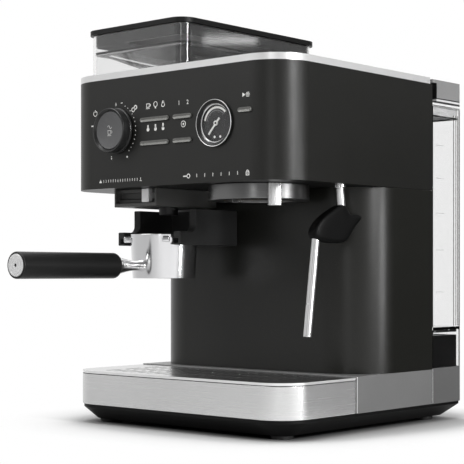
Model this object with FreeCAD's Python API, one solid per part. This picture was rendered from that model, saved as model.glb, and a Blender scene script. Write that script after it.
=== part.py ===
import FreeCAD, Part
import math
import os
from FreeCAD import Vector

# An espresso machine with a built-in grinder. Millimetres, +X to the right, +Y to the back, +Z up.
# Pieces are drawn with Y = 0 at the front of the head, and moved to the row's origin when written.

# Overall size
body_width = 297.4
case_depth = 250.0  # front of the head to the back of the casing
tank_depth = 58.0  # the water tank behind the casing
handle_reach = 137.6  # end of the portafilter handle, in front of the head
wall = 2.5  # casing sheet
seat_gap = 0.3  # between a piece and the piece that it lifts or slides off
running_gap = 0.05  # radial clearance of a turning shaft

# Heights, stacked from the counter up
foot_height = 4.0
pan_height = 15.5
base_height = 36.5
column_height = 188.5
head_height = 112.0
trim_height = 6.5

# Base, drip tray and feet
base_setback = 6.7
base_corner = 34.0
back_corner = 6.0
pan_inset = 1.5
pan_taper = 14.5
pan_wall = 3.0
pan_rim = 3.0
pan_rib = 2.5
pan_rib_pitch = 75.0
foot_radius = 11.0
foot_stem_radius = 4.0
foot_side_inset = 30.7
foot_end_inset = 31.3
tray_depth = 109.3
tray_wall = 2.0
tray_back_corner = 3.0
grid_thickness = 2.7
grid_step = 1.0  # the grid lies this far below the base's top
grid_skirt = 3.0
slot_width = 3.4
slot_length = 22.0
slot_end_radius = 1.5
slot_pitch = 12.0
slot_row_pitch = 28.0
slot_columns = 19
slot_rows = 3
joint_line = 0.4  # open seam between the tray, the base and the dock

# Column, head and top
column_setback = 128.6
column_corner = 55.0
head_corner = 41.0
floor_thickness = 3.0
floor_fit = 0.2
seam = 0.3  # shadow line between the column and the head
rear_sheet = 2.5
vent_count = 14
vent_width = 4.0
vent_length = 40.0
vent_pitch = 12.0
trim_width = 6.0
trim_ledge_width = 4.0
trim_ledge_height = 1.5
plate_thickness = 3.0

# Control panel, heights above the head's lower edge
knob_spacing = 54.5  # knob to the drink button
knob_rise = 58.1
knob_radius = 22.0
knob_face_radius = 20.3
knob_depth = 12.5
knob_face_depth = 2.0
knob_base_radius = 23.5
knob_base_depth = 3.0
knob_gap = 0.5
knob_stem_radius = 4.0
knob_stem_length = 16.0
button_height = 4.5
button_proud = 1.8
button_flange = 2.0
button_flange_gap = 1.0  # clears the inside of the head's rounded corner
button_flange_depth = 2.2
button_stem_end = 9.0
button_travel = 1.5
upper_button_rise = 66.5
lower_button_rise = 43.0
drink_button_spacing = 38.25  # drink button to the cup button
drink_button_width = 39.2
cup_button_spacing = 42.75  # cup button to the gauge
cup_button_width = 24.9
start_button_inset = 44.45
start_button_width = 16.1
board_setback = 18.0
board_thickness = 1.6
board_margin = 16.0
board_post_inset = 6.0
board_post_radius = 3.0
switch_width = 8.0
encoder_width = 16.0
encoder_depth = 10.0

# Pressure gauge
gauge_spacing = 37.75  # gauge to the start button
gauge_rise = 56.5
bezel_radius = 22.5
bezel_lip = 4.0
bezel_height = 3.0
gauge_case_radius = 20.0
gauge_case_depth = 20.0
gauge_rim = 1.2
lens_thickness = 1.0
dial_setback = 2.0
needle_length = 14.0
needle_tail = 6.5
needle_width = 1.8
needle_thickness = 0.8
needle_hub_radius = 2.4
needle_shaft_radius = 0.8
needle_shaft_length = 7.0
needle_angle = 228.0  # from +X, seen from the front

# Bean hopper
hopper_width = 139.6
hopper_depth = 213.0
hopper_front = 20.0
hopper_offset = -1.3  # hopper's middle to the right of the cradle's
hopper_height = 47.4
hopper_wall = 2.5
hopper_corner = 14.0
lid_thickness = 5.0
lid_overhang = 3.0
lid_skirt = 12.0
lid_skirt_wall = 2.0
funnel_rise = 27.5  # funnel rim above the top plate
funnel_rim_height = 2.5
funnel_wall = 2.0
throat_width = 48.0
throat_rise = 5.0

# Grinder
burr_back_inset = 112.0
gear_module = 1.5
pressure_angle = 20.0
addendum = 1.2  # tooth above the pitch circle
dedendum = 1.8
gear_teeth = 72
pinion_teeth = 12
gear_thickness = 10.0
gear_lift = 4.5  # underside of the gears above the head floor
gear_backlash = 0.45
grinder_plate_lift = 16.5
grinder_plate_thickness = 6.0
grinder_plate_margin = 12.0
grinder_post_radius = 4.0
grinder_post_inset = 1.5
grinder_post_angles = (35.0, 145.0, 215.0, 325.0)
housing_radius = 36.0
housing_wall = 5.0
housing_top_gap = 17.0
burr_ring_height = 26.0
burr_ring_bore = 20.0
burr_ring_lift = 18.0
cone_bottom_radius = 18.0
cone_top_radius = 9.0
cone_height = 30.0
burr_shaft_radius = 5.0
burr_shaft_tip = 8.0
chute_width = 36.0
chute_wall = 2.5
chute_front = 48.0
chute_drop = 36.0
motor_radius = 26.0
motor_top_gap = 14.0
motor_shaft_radius = 3.0
motor_shaft_grip = 22.0

# Grind outlet, its slider and the cradle below it
cradle_x = -63.5
portafilter_y = 63.0
block_width = 61.0
block_front = 20.0
block_back = 112.0
block_height = 18.5
slider_width = 10.0
slider_height = 14.0
slider_depth = 6.0
slider_proud = 0.8
slider_offset = 15.5  # to the right of the cradle's middle
slider_tongue_depth = 4.0
slider_tongue_height = 6.0
slider_end_wall = 2.0
outlet_width = 30.0
outlet_depth = 26.0
cradle_wall = 9.5
cradle_clearance = 0.5
cradle_top_drop = 20.5
cradle_wall_front = 63.5
cradle_arm_front = 40.0
cradle_arm_height = 14.0
cradle_bottom_drop = 58.0
cradle_fillet = 7.0
cradle_back_wall = 16.0

# Portafilter
basket_ring_radius = 35.5
basket_ring_height = 46.0
ring_bottom_radius = 33.0
ring_top_drop = 46.5  # rim below the head's lower edge
ring_wall = 5.0
ring_floor = 4.0
spout_hole_radius = 6.0
ear_reach = 6.0
ear_width = 16.0
ear_thickness = 4.0
ear_drop = 5.0
ear_gap = 0.6
basket_radius = 29.5
basket_wall = 1.0
basket_depth = 26.0
basket_rim_radius = 33.0
basket_rim_height = 1.5
handle_drop = 33.0  # handle axis below the rim
grip_radius = 13.0
grip_edge_radius = 1.3
grip_shoulder_radius = 3.0
grip_inner_reach = 8.5  # inner end of the grip, in front of the head
# Distance back from the grip, then the neck's radius there
neck_stations = (
    (0.0, 9.8), (8.0, 8.2), (17.6, 6.2), (27.0, 5.1), (36.0, 5.6), (44.0, 7.4), (53.7, 10.0),
)
tang_radius = 5.0
tang_length = 60.0
cap_radius = 11.2
cap_depth = 2.4
cap_proud = 0.6
cap_stem_radius = 4.0
cap_stem_length = 12.0

# Brewing group
group_x = 67.0
group_y = 64.0
collar_radius = 50.0
collar_height = 15.2
collar_lip_height = 3.7
collar_lip_clearance = 1.5
group_neck_radius = 40.0
group_socket_drop = 11.5
group_socket_depth = 8.0
group_flange_radius = 46.0
group_flange_height = 5.0
group_height = 30.0
gasket_height = 3.5
gasket_fit = 0.3
screen_radius = 28.0
screen_thickness = 2.0
screen_hole_radius = 1.0
screen_ring_radii = (10.0, 16.0, 22.0)
screen_hole_counts = (8, 12, 16)
tab_angle = 57.0  # to the right of straight ahead
tab_width = 13.0
tab_thickness = 4.5
tab_drop = 7.0  # below the collar

# Water system inside the casing
boiler_setback = 41.4  # behind the column's front
boiler_radius = 36.0
boiler_height = 80.0
boiler_flange = 6.0
boiler_flange_height = 4.5
nipple_length = 6.0
hose_radius = 4.5
hose_bend = 15.0
hose_clearance = 0.8
pipe_rise = 52.0  # pipes above the head floor
pump_x = 5.0
pump_radius = 22.0
pump_height = 78.0
pump_lift = 16.0
pump_nipple = 5.0
pump_bracket = 4.0
pump_bracket_depth = 30.0
suction_rise = 19.0  # suction hose above the pan
solenoid_width = 28.0
solenoid_depth = 30.0
solenoid_height = 38.0

# Steam wand; s runs forward from its pivot in the wand's own upright plane
wand_side_inset = 11.7
wand_y = 104.0
wand_yaw_angle = 8.8
wand_radius = 4.0
wand_bend = 11.0
wand_top_rise = 11.0
wand_points = ((0.0, -6.0), (-3.2, -31.0), (31.5, -46.5))
wand_tip_point = (43.4, -148.2)
tip_length = 32.0
tip_groove = 0.8
tip_hole_radius = 1.0
tip_hole_depth = 8.0
socket_radius = 5.6
socket_drop = 3.5
socket_flange_radius = 8.0
socket_flange_height = 3.5
socket_height = 18.0
grip_thickness = 14.6
grip_fit = 0.15
grip_outline = (
    (3.9, -20.5), (13.3, -25.0), (26.7, -32.5), (36.0, -40.5), (40.0, -50.0), (36.5, -54.5),
    (26.7, -57.2), (6.6, -58.4), (-4.3, -57.3), (-10.0, -49.5), (-16.7, -40.6), (-24.6, -34.6),
    (-27.0, -31.0), (-23.0, -28.8), (-13.9, -30.0), (-8.6, -28.6), (-6.9, -23.5), (-1.7, -19.6),
)

# Water tank, its dock and lid
dock_step = 1.0
plinth_height = 34.0
plinth_gap = 0.6
plinth_wall = 2.5
tank_gap = 0.6
tank_wall = 2.5
tank_floor_rise = 40.0
tank_floor = 3.0
tank_height = 277.0
lid_rim_height = 3.7
lid_block_height = 24.0
lid_block_front = 7.2
lid_flange_height = 3.5
lid_plug = 11.0
lid_plug_gap = 1.5  # lets the plug swing past the tank's front wall
lid_plug_wall = 2.5
valve_radius = 7.0
valve_flange_radius = 11.0
valve_flange_height = 3.0
valve_reach = 20.0
valve_clearance = 1.5
valve_seat_width = 18.0

# Cord gland and screws
gland_side_inset = 43.7
gland_rise = 20.0
gland_radius = 8.0
gland_flange_radius = 11.0
gland_flange_depth = 1.5
gland_bore_radius = 3.8
gland_length = 14.0
screw_radius = 2.0
screw_head_radius = 3.6
screw_head_height = 1.6
screw_length = 10.0
screw_side_inset = 16.0
screw_end_inset = 18.0
screw_boss_radius = 5.0

# Planes that several pieces share
half_width = body_width / 2
start_button_x = half_width - start_button_inset
gauge_x = start_button_x - gauge_spacing
cup_button_x = gauge_x - cup_button_spacing
drink_button_x = cup_button_x - drink_button_spacing
knob_x = drink_button_x - knob_spacing
hopper_x = cradle_x + hopper_offset
slider_x = cradle_x + slider_offset
burr_x = cradle_x
burr_y = case_depth - burr_back_inset
boiler_x = group_x
boiler_y = column_setback + boiler_setback
gland_x = -half_width + gland_side_inset
body_back = case_depth + tank_depth
pan_top = foot_height + pan_height
base_top = pan_top + base_height
head_bottom = base_top + column_height
head_top = head_bottom + head_height
trim_top = head_top + trim_height
floor_top = head_bottom + floor_thickness
plate_bottom = head_top + trim_ledge_height
plate_top = plate_bottom + plate_thickness
tray_back = base_setback + tray_depth
tray_top = base_top - grid_step - grid_thickness - seat_gap
dock_top = base_top + dock_step
plinth_top = dock_top + plinth_height
dock_y = case_depth + tank_depth / 2
pump_y = boiler_y
wand_x = half_width - wand_side_inset
ring_top = head_bottom - ring_top_drop
handle_z = ring_top - handle_drop
inner_width = half_width - wall
collar_bottom = head_bottom - seat_gap - collar_height
gear_radius = gear_module * gear_teeth / 2
pinion_radius = gear_module * pinion_teeth / 2
motor_y = burr_y + gear_radius + pinion_radius
gear_bottom = floor_top + gear_lift
grinder_plate_bottom = floor_top + grinder_plate_lift
grinder_plate_top = grinder_plate_bottom + grinder_plate_thickness
housing_top = head_top - housing_top_gap
pipe_z = floor_top + pipe_rise
pump_bottom = base_top + pump_lift
pump_top = pump_bottom + pump_height
suction_z = pan_top + suction_rise
hose_hole_radius = hose_radius + hose_clearance
front_y = (handle_reach - body_back) / 2  # the row's origin is midway between handle end and tank back


# Plain forms
def box(x0, x1, y0, y1, z0, z1):
    return Part.makeBox(x1 - x0, y1 - y0, z1 - z0, Vector(x0, y0, z0))


def rod(radius, x, y, z0, z1):
    return Part.makeCylinder(radius, z1 - z0, Vector(x, y, z0))


def rod_along_y(radius, x, z, y0, y1):
    return Part.makeCylinder(radius, y1 - y0, Vector(x, y0, z), Vector(0, 1, 0))


def rod_along_x(radius, y, z, x0, x1):
    return Part.makeCylinder(radius, x1 - x0, Vector(x0, y, z), Vector(1, 0, 0))


def corner_arc(centre, radius, degrees):
    middle = math.radians(degrees + 45)
    ends = [math.radians(degrees), math.radians(degrees + 90)]
    at = [centre + Vector(radius * math.cos(a), radius * math.sin(a), 0) for a in (ends[0], middle, ends[1])]
    return Part.Arc(*at).toShape(), at[0], at[2]


def outline(x0, x1, y0, y1, z, front_radius, rear_radius):
    corners = (
        (x1 - rear_radius, y1 - rear_radius, rear_radius, 0),
        (x0 + rear_radius, y1 - rear_radius, rear_radius, 90),
        (x0 + front_radius, y0 + front_radius, front_radius, 180),
        (x1 - front_radius, y0 + front_radius, front_radius, 270),
    )
    edges = []
    starts = []
    ends = []
    for x, y, radius, degrees in corners:
        if radius > 0:
            arc, first, last = corner_arc(Vector(x, y, z), radius, degrees)
            edges.append(arc)
        else:
            edges.append(None)
            first = last = Vector(x, y, z)
        starts.append(first)
        ends.append(last)
    loop = []
    for i, arc in enumerate(edges):
        if arc:
            loop.append(arc)
        loop.append(Part.LineSegment(ends[i], starts[(i + 1) % 4]).toShape())
    return Part.Wire(loop)


def slab(x0, x1, y0, y1, z0, z1, front_radius=0.0, rear_radius=0.0):
    face = Part.Face(outline(x0, x1, y0, y1, z0, front_radius, rear_radius))
    return face.extrude(Vector(0, 0, z1 - z0))


def lozenge(x, z, width, height, y0, y1):
    reach = (width - height) / 2
    ends = rod_along_y(height / 2, x - reach, z, y0, y1).fuse(rod_along_y(height / 2, x + reach, z, y0, y1))
    return ends.fuse(box(x - reach, x + reach, y0, y1, z - height / 2, z + height / 2)).removeSplitter()


def spun_along_y(x, z, stations):
    points = [Vector(x, y, z + radius) for y, radius in stations]
    curve = Part.BSplineCurve()
    curve.interpolate(points)
    first = Vector(x, stations[0][0], z)
    last = Vector(x, stations[-1][0], z)
    loop = [
        Part.LineSegment(first, points[0]).toShape(),
        curve.toShape(),
        Part.LineSegment(points[-1], last).toShape(),
        Part.LineSegment(last, first).toShape(),
    ]
    return Part.Face(Part.Wire(loop)).revolve(first, Vector(0, 1, 0), 360)


def rounded_path(points, bend):
    edges = []
    start = points[0]
    for before, corner, after in zip(points, points[1:], points[2:]):
        back = (before - corner).normalize()
        ahead = (after - corner).normalize()
        half_angle = back.getAngle(ahead) / 2
        trim = bend / math.tan(half_angle)
        middle = (back + ahead).normalize()
        bulge = bend / math.sin(half_angle) - bend
        first = corner + back * trim
        last = corner + ahead * trim
        edges.append(Part.LineSegment(start, first).toShape())
        edges.append(Part.Arc(first, corner + middle * bulge, last).toShape())
        start = last
    edges.append(Part.LineSegment(start, points[-1]).toShape())
    return Part.Wire(edges)


def pipe(points, radius, bend):
    path = rounded_path(points, bend)
    section = Part.Wire(Part.makeCircle(radius, points[0], points[1] - points[0]))
    return path.makePipeShell([section], True, False)


# Base
def base_outline(inset, z):
    return outline(
        -half_width + inset, half_width - inset, base_setback + inset, body_back - inset, z,
        max(base_corner - inset, pan_rib), max(back_corner - inset, pan_rib),
    )


def pan_form(inset, z0):
    taper_top = pan_top - pan_rim
    lower = Part.makeLoft([base_outline(inset + pan_taper, z0), base_outline(inset, taper_top)], True, True)
    rim = Part.Face(base_outline(inset, taper_top)).extrude(Vector(0, 0, pan_rim))
    return lower.fuse(rim)


def foot_places():
    x = half_width - foot_side_inset
    for y in (base_setback + foot_end_inset, body_back - foot_end_inset):
        yield -x, y
        yield x, y


def base_pan():
    hollow = pan_form(pan_inset + pan_wall, foot_height + pan_wall)
    pan = pan_form(pan_inset, foot_height).cut(hollow)
    for x in (-pan_rib_pitch, 0.0, pan_rib_pitch):
        rib = box(x - pan_rib / 2, x + pan_rib / 2, 0, body_back, foot_height + pan_wall, pan_top)
        pan = pan.fuse(rib.common(hollow))
    for x, y in foot_places():
        pan = pan.cut(rod(foot_stem_radius + running_gap, x, y, foot_height, foot_height + pan_wall))
    return pan.removeSplitter()


def feet():
    made = []
    for x, y in foot_places():
        disc = rod(foot_radius, x, y, 0, foot_height)
        stem = rod(foot_stem_radius, x, y, foot_height, foot_height + pan_wall)
        made.append(disc.fuse(stem).removeSplitter())
    return Part.makeCompound(made)


def rear_base_cover():
    front = tray_back + joint_line
    back = case_depth - joint_line / 2
    cover = box(-half_width, half_width, front, back, pan_top, base_top)
    cover = cover.cut(box(-inner_width, inner_width, front + wall, back - wall, pan_top, base_top - wall))
    cover = cover.cut(rod_along_y(hose_hole_radius, pump_x, suction_z, back - wall, back))
    return cover.cut(rod(hose_hole_radius, pump_x, pump_y, base_top - wall, base_top))


def drip_tray():
    bottom = pan_top + seat_gap
    tray = slab(
        -half_width, half_width, base_setback, tray_back, bottom, tray_top, base_corner, tray_back_corner,
    )
    inside = slab(
        -half_width + tray_wall, half_width - tray_wall, base_setback + tray_wall, tray_back - tray_wall,
        bottom + tray_wall, tray_top, base_corner - tray_wall, tray_back_corner - tray_wall / 2,
    )
    return tray.cut(inside)


def drip_grid():
    bottom = tray_top + seat_gap
    inset = tray_wall + seat_gap
    plate = slab(
        -half_width, half_width, base_setback, tray_back, bottom, bottom + grid_thickness,
        base_corner, tray_back_corner,
    )
    skirt_sizes = (inset, inset + tray_wall)
    rings = [
        slab(
            -half_width + i, half_width - i, base_setback + i, tray_back - i, bottom - grid_skirt, bottom,
            base_corner - i, tray_back_corner / 2,
        )
        for i in skirt_sizes
    ]
    grid = plate.fuse(rings[0].cut(rings[1]))
    middle_y = (base_setback + tray_back) / 2
    slots = []
    for column in range(slot_columns):
        x = (column - (slot_columns - 1) / 2) * slot_pitch
        for row in range(slot_rows):
            y = middle_y + (row - (slot_rows - 1) / 2) * slot_row_pitch
            slots.append(
                slab(
                    x - slot_width / 2, x + slot_width / 2, y - slot_length / 2, y + slot_length / 2,
                    bottom, bottom + grid_thickness, slot_end_radius, slot_end_radius,
                )
            )
    return grid.cut(Part.makeCompound(slots))


# Casing
def open_backed_case(front, z0, z1, corner):
    outer = slab(-half_width, half_width, front, case_depth, z0, z1, corner)
    inner = slab(-inner_width, inner_width, front + wall, case_depth, z0, z1, corner - wall)
    return outer.cut(inner)


def column_shell():
    top = head_bottom - seam
    return with_screw_lugs(open_backed_case(column_setback, base_top, top, column_corner), base_top, top)


def button_places():
    upper = head_bottom + upper_button_rise
    lower = head_bottom + lower_button_rise
    return {
        "drink_button": (drink_button_x, upper, drink_button_width),
        "temperature_button": (drink_button_x, lower, drink_button_width),
        "cup_button": (cup_button_x, upper, cup_button_width),
        "program_button": (cup_button_x, lower, cup_button_width),
        "start_button": (start_button_x, upper, start_button_width),
    }


def head_shell():
    shell = open_backed_case(0, head_bottom, head_top, head_corner)
    for x, z, width in button_places().values():
        slot_back = wall + button_flange_gap
        shell = shell.cut(lozenge(x, z, width + 2 * seat_gap, button_height + 2 * seat_gap, 0, slot_back))
    shell = shell.cut(rod_along_y(knob_stem_radius + seat_gap, knob_x, head_bottom + knob_rise, 0, wall))
    shell = shell.cut(rod_along_y(gauge_case_radius + seat_gap, gauge_x, head_bottom + gauge_rise, 0, wall))
    return with_screw_lugs(shell, head_bottom, head_top)


def head_floor():
    side = inner_width - floor_fit
    corner = head_corner - wall - floor_fit
    back = case_depth - rear_sheet - floor_fit
    plate = slab(-side, side, wall + floor_fit, back, head_bottom, floor_top, corner)
    holes = [
        rod(group_neck_radius + seat_gap, group_x, group_y, head_bottom, floor_top),
        rod(socket_radius + seat_gap, wand_x, wand_y, head_bottom, floor_top),
        rod(hose_hole_radius, pump_x, pump_y, head_bottom, floor_top),
        outlet_hole(head_bottom, floor_top),
    ]
    return plate.cut(Part.makeCompound(holes))


def rear_screw_places():
    x = inner_width - screw_side_inset
    middle = (base_top + head_top) / 2
    for z in (base_top + screw_end_inset, middle, head_top - screw_end_inset):
        yield -x, z
        yield x, z


def rear_cover():
    side = inner_width - floor_fit
    front = case_depth - rear_sheet
    cover = box(-side, side, front, case_depth, base_top + floor_fit, head_top - floor_fit)
    head_front = case_depth - screw_head_height
    holes = []
    for x, z in rear_screw_places():
        holes.append(rod_along_y(screw_radius + running_gap, x, z, front, case_depth))
        holes.append(rod_along_y(screw_head_radius + running_gap, x, z, head_front, case_depth))
    vent_z = (head_bottom + head_top) / 2
    for i in range(vent_count):
        x = (i - (vent_count - 1) / 2) * vent_pitch
        holes.append(
            box(
                x - vent_width / 2, x + vent_width / 2, front, case_depth,
                vent_z - vent_length / 2, vent_z + vent_length / 2,
            )
        )
    for hole in holes:
        cover = cover.cut(hole)
    return cover


def case_screws():
    made = []
    for x, z in rear_screw_places():
        shank = rod_along_y(screw_radius, x, z, case_depth - screw_length, case_depth)
        head = rod_along_y(screw_head_radius, x, z, case_depth - screw_head_height, case_depth)
        made.append(shank.fuse(head).removeSplitter())
    return Part.makeCompound(made)


def with_screw_lugs(shell, low, high):
    front = case_depth - rear_sheet
    for x, z in rear_screw_places():
        if not low < z < high:
            continue
        outside = math.copysign(half_width - wall / 2, x)
        inside = x - math.copysign(screw_boss_radius, x)
        lug = box(
            min(outside, inside), max(outside, inside), case_depth - screw_length, front,
            z - screw_boss_radius, z + screw_boss_radius,
        )
        hole = rod_along_y(screw_radius + running_gap, x, z, case_depth - screw_length, front)
        shell = shell.fuse(lug.cut(hole))
    return shell.removeSplitter()


def top_ring(inset, z0, z1):
    return slab(
        -half_width + inset, half_width - inset, inset, case_depth - inset, z0, z1,
        head_corner - inset, max(back_corner - inset, running_gap),
    )


def top_trim():
    ring = top_ring(0, head_top, trim_top)
    ring = ring.cut(top_ring(trim_width, plate_bottom, trim_top))
    return ring.cut(top_ring(trim_width + trim_ledge_width, head_top, plate_bottom))


def top_plate():
    plate = top_ring(trim_width + floor_fit, plate_bottom, plate_top)
    reach = throat_width / 2 + seat_gap
    hole = box(burr_x - reach, burr_x + reach, burr_y - reach, burr_y + reach, plate_bottom, plate_top)
    return plate.cut(hole)


# Control panel
def control_knob():
    z = head_bottom + knob_rise
    skirt = rod_along_y(knob_radius, knob_x, z, -knob_depth, -knob_gap)
    skirt = skirt.cut(rod_along_y(knob_face_radius, knob_x, z, -knob_depth, -knob_depth + knob_face_depth))
    skirt = skirt.fuse(rod_along_y(knob_base_radius, knob_x, z, -knob_gap - knob_base_depth, -knob_gap))
    return skirt.fuse(rod_along_y(knob_stem_radius, knob_x, z, -knob_gap, knob_stem_length)).removeSplitter()


def knob_face():
    z = head_bottom + knob_rise
    radius = knob_face_radius - running_gap
    return rod_along_y(radius, knob_x, z, -knob_depth, -knob_depth + knob_face_depth)


def button(place):
    x, z, width = place
    flange_front = wall + button_flange_gap
    cap = lozenge(x, z, width, button_height, -button_proud, button_stem_end)
    flange = lozenge(
        x, z, width + 2 * button_flange, button_height + 2 * button_flange,
        flange_front, flange_front + button_flange_depth,
    )
    return cap.fuse(flange).removeSplitter()


def control_board():
    places = list(button_places().values())
    left = knob_x - board_margin
    right = start_button_x + switch_width / 2
    low = head_bottom + lower_button_rise - board_margin
    high = head_bottom + upper_button_rise + board_margin
    front = board_setback
    back = front + board_thickness
    board = box(left, right, front, back, low, high)
    knob_z = head_bottom + knob_rise
    half = encoder_width / 2
    board = board.fuse(
        box(knob_x - half, knob_x + half, front - encoder_depth, front, knob_z - half, knob_z + half)
    )
    switch_front = button_stem_end + button_travel + seat_gap
    reach = switch_width / 2
    for x, z, width in places:
        switch = box(x - reach, x + reach, switch_front, front, z - button_height, z + button_height)
        board = board.fuse(switch)
    inset = board_post_inset
    for x in (left + inset, right - inset):
        for z in (low + inset, high - inset):
            board = board.fuse(rod_along_y(board_post_radius, x, z, wall, front))
    stem_bore = knob_stem_radius + running_gap
    board = board.cut(rod_along_y(stem_bore, knob_x, knob_z, front - encoder_depth, back))
    hole = gauge_case_radius + seat_gap
    return board.cut(rod_along_y(hole, gauge_x, head_bottom + gauge_rise, front, back)).removeSplitter()


def gauge_case():
    z = head_bottom + gauge_rise
    case = rod_along_y(gauge_case_radius, gauge_x, z, 0, gauge_case_depth)
    case = case.cut(rod_along_y(gauge_case_radius - gauge_rim, gauge_x, z, 0, dial_setback))
    bore = needle_shaft_radius + running_gap
    return case.cut(rod_along_y(bore, gauge_x, z, dial_setback, dial_setback + needle_shaft_length))


def gauge_bezel():
    z = head_bottom + gauge_rise
    lens_back = -running_gap
    ring = rod_along_y(bezel_radius, gauge_x, z, -bezel_height, 0)
    ring = ring.cut(rod_along_y(bezel_radius - bezel_lip, gauge_x, z, -bezel_height, 0))
    seat = gauge_case_radius - gauge_rim
    return ring.cut(rod_along_y(seat, gauge_x, z, lens_back - lens_thickness, 0))


def gauge_lens():
    z = head_bottom + gauge_rise
    radius = gauge_case_radius - gauge_rim - running_gap
    return rod_along_y(radius, gauge_x, z, -running_gap - lens_thickness, -running_gap)


def gauge_needle():
    z = head_bottom + gauge_rise
    back = dial_setback - seat_gap
    front = back - needle_thickness
    half = needle_width / 2
    blade = box(gauge_x - needle_tail, gauge_x + needle_length, front, back, z - half, z + half)
    blade = blade.fuse(rod_along_y(needle_hub_radius, gauge_x, z, front, back))
    shaft_end = dial_setback + needle_shaft_length - seat_gap
    blade = blade.fuse(rod_along_y(needle_shaft_radius, gauge_x, z, back, shaft_end))
    blade.rotate(Vector(gauge_x, 0, z), Vector(0, -1, 0), needle_angle)
    return blade.removeSplitter()


# Hopper
def hopper_ring(inset, z0, z1):
    left = hopper_x - hopper_width / 2
    right = hopper_x + hopper_width / 2
    corner = max(hopper_corner - inset, hopper_wall)
    return slab(
        left + inset, right - inset, hopper_front + inset, hopper_front + hopper_depth - inset,
        z0, z1, corner, corner,
    )


hopper_bottom = plate_top + seat_gap
hopper_top = hopper_bottom + hopper_height


def hopper_body():
    return hopper_ring(0, hopper_bottom, hopper_top).cut(hopper_ring(hopper_wall, hopper_bottom, hopper_top))


def throat_square(reach, z):
    corners = [(-reach, -reach), (reach, -reach), (reach, reach), (-reach, reach), (-reach, -reach)]
    return Part.makePolygon([Vector(burr_x + x, burr_y + y, z) for x, y in corners])


def hopper_square(inset, z):
    left = hopper_x - hopper_width / 2 + inset
    right = hopper_x + hopper_width / 2 - inset
    front = hopper_front + inset
    back = hopper_front + hopper_depth - inset
    corners = [(left, front), (right, front), (right, back), (left, back), (left, front)]
    return Part.makePolygon([Vector(x, y, z) for x, y in corners])


def hopper_funnel():
    rim_bottom = plate_top + funnel_rise
    rim_top = rim_bottom + funnel_rim_height
    neck_top = plate_top + throat_rise
    neck_bottom = housing_top + seat_gap
    edge = hopper_wall + running_gap
    slope_inset = edge + funnel_wall + hopper_corner / 2
    reach = throat_width / 2
    inner_reach = reach - funnel_wall
    rim = hopper_ring(edge, rim_bottom, rim_top)
    slope = [throat_square(reach, neck_top), hopper_square(slope_inset, rim_bottom)]
    cone = Part.makeLoft(slope, True, True)
    neck = box(burr_x - reach, burr_x + reach, burr_y - reach, burr_y + reach, neck_bottom, neck_top)
    solid = rim.fuse(cone).fuse(neck)
    inner_slope = [throat_square(inner_reach, neck_top), hopper_square(slope_inset + funnel_wall, rim_bottom)]
    hollow_cone = Part.makeLoft(inner_slope, True, True)
    hollow_neck = box(
        burr_x - inner_reach, burr_x + inner_reach, burr_y - inner_reach, burr_y + inner_reach,
        neck_bottom, neck_top,
    )
    hollow_rim = Part.Face(hopper_square(slope_inset + funnel_wall, rim_bottom)).extrude(
        Vector(0, 0, funnel_rim_height)
    )
    return solid.cut(hollow_cone.fuse(hollow_neck).fuse(hollow_rim)).removeSplitter()


def hopper_lid():
    bottom = hopper_top + seat_gap
    plate = hopper_ring(-lid_overhang, bottom, bottom + lid_thickness)
    inset = hopper_wall + seat_gap
    skirt = hopper_ring(inset, bottom - lid_skirt, bottom)
    skirt = skirt.cut(hopper_ring(inset + lid_skirt_wall, bottom - lid_skirt, bottom))
    return plate.fuse(skirt).removeSplitter()


# Grinder
def spur_gear(teeth, x, y, turn, z0, z1):
    pitch_radius = gear_module * teeth / 2
    slope = math.tan(math.radians(pressure_angle))
    tip = pitch_radius + addendum
    root = pitch_radius - dedendum
    tooth = math.pi * gear_module / 2 - gear_backlash
    tip_half = (tooth / 2 - addendum * slope) / tip
    root_half = (tooth / 2 + dedendum * slope) / root
    points = []
    for i in range(teeth):
        middle = math.radians(turn) + 2 * math.pi * i / teeth
        for radius, offset in ((root, -root_half), (tip, -tip_half), (tip, tip_half), (root, root_half)):
            angle = middle + offset
            points.append(Vector(x + radius * math.cos(angle), y + radius * math.sin(angle), z0))
    points.append(points[0])
    return Part.Face(Part.makePolygon(points)).extrude(Vector(0, 0, z1 - z0))


cone_bottom = grinder_plate_top + burr_ring_lift - seat_gap


def burr_gear():
    gear = spur_gear(gear_teeth, burr_x, burr_y, 90, gear_bottom, gear_bottom + gear_thickness)
    shaft_top = cone_bottom + cone_height + burr_shaft_tip
    shaft = rod(burr_shaft_radius, burr_x, burr_y, floor_top + seat_gap, shaft_top)
    return gear.fuse(shaft).removeSplitter()


def burr_cone():
    centre = Vector(burr_x, burr_y, cone_bottom)
    cone = Part.makeCone(cone_bottom_radius, cone_top_radius, cone_height, centre)
    bore = burr_shaft_radius + running_gap
    return cone.cut(rod(bore, burr_x, burr_y, cone_bottom, cone_bottom + cone_height))


def motor_pinion():
    half_pitch = 180 / pinion_teeth
    top = gear_bottom + gear_thickness
    pinion = spur_gear(pinion_teeth, burr_x, motor_y, -90 + half_pitch, gear_bottom, top)
    shaft_top = grinder_plate_top + motor_shaft_grip
    shaft = rod(motor_shaft_radius, burr_x, motor_y, floor_top + seat_gap, shaft_top)
    return pinion.fuse(shaft).removeSplitter()


def outlet_hole(z0, z1):
    half = outlet_width / 2
    reach = outlet_depth / 2
    return box(cradle_x - half, cradle_x + half, portafilter_y - reach, portafilter_y + reach, z0, z1)


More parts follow.
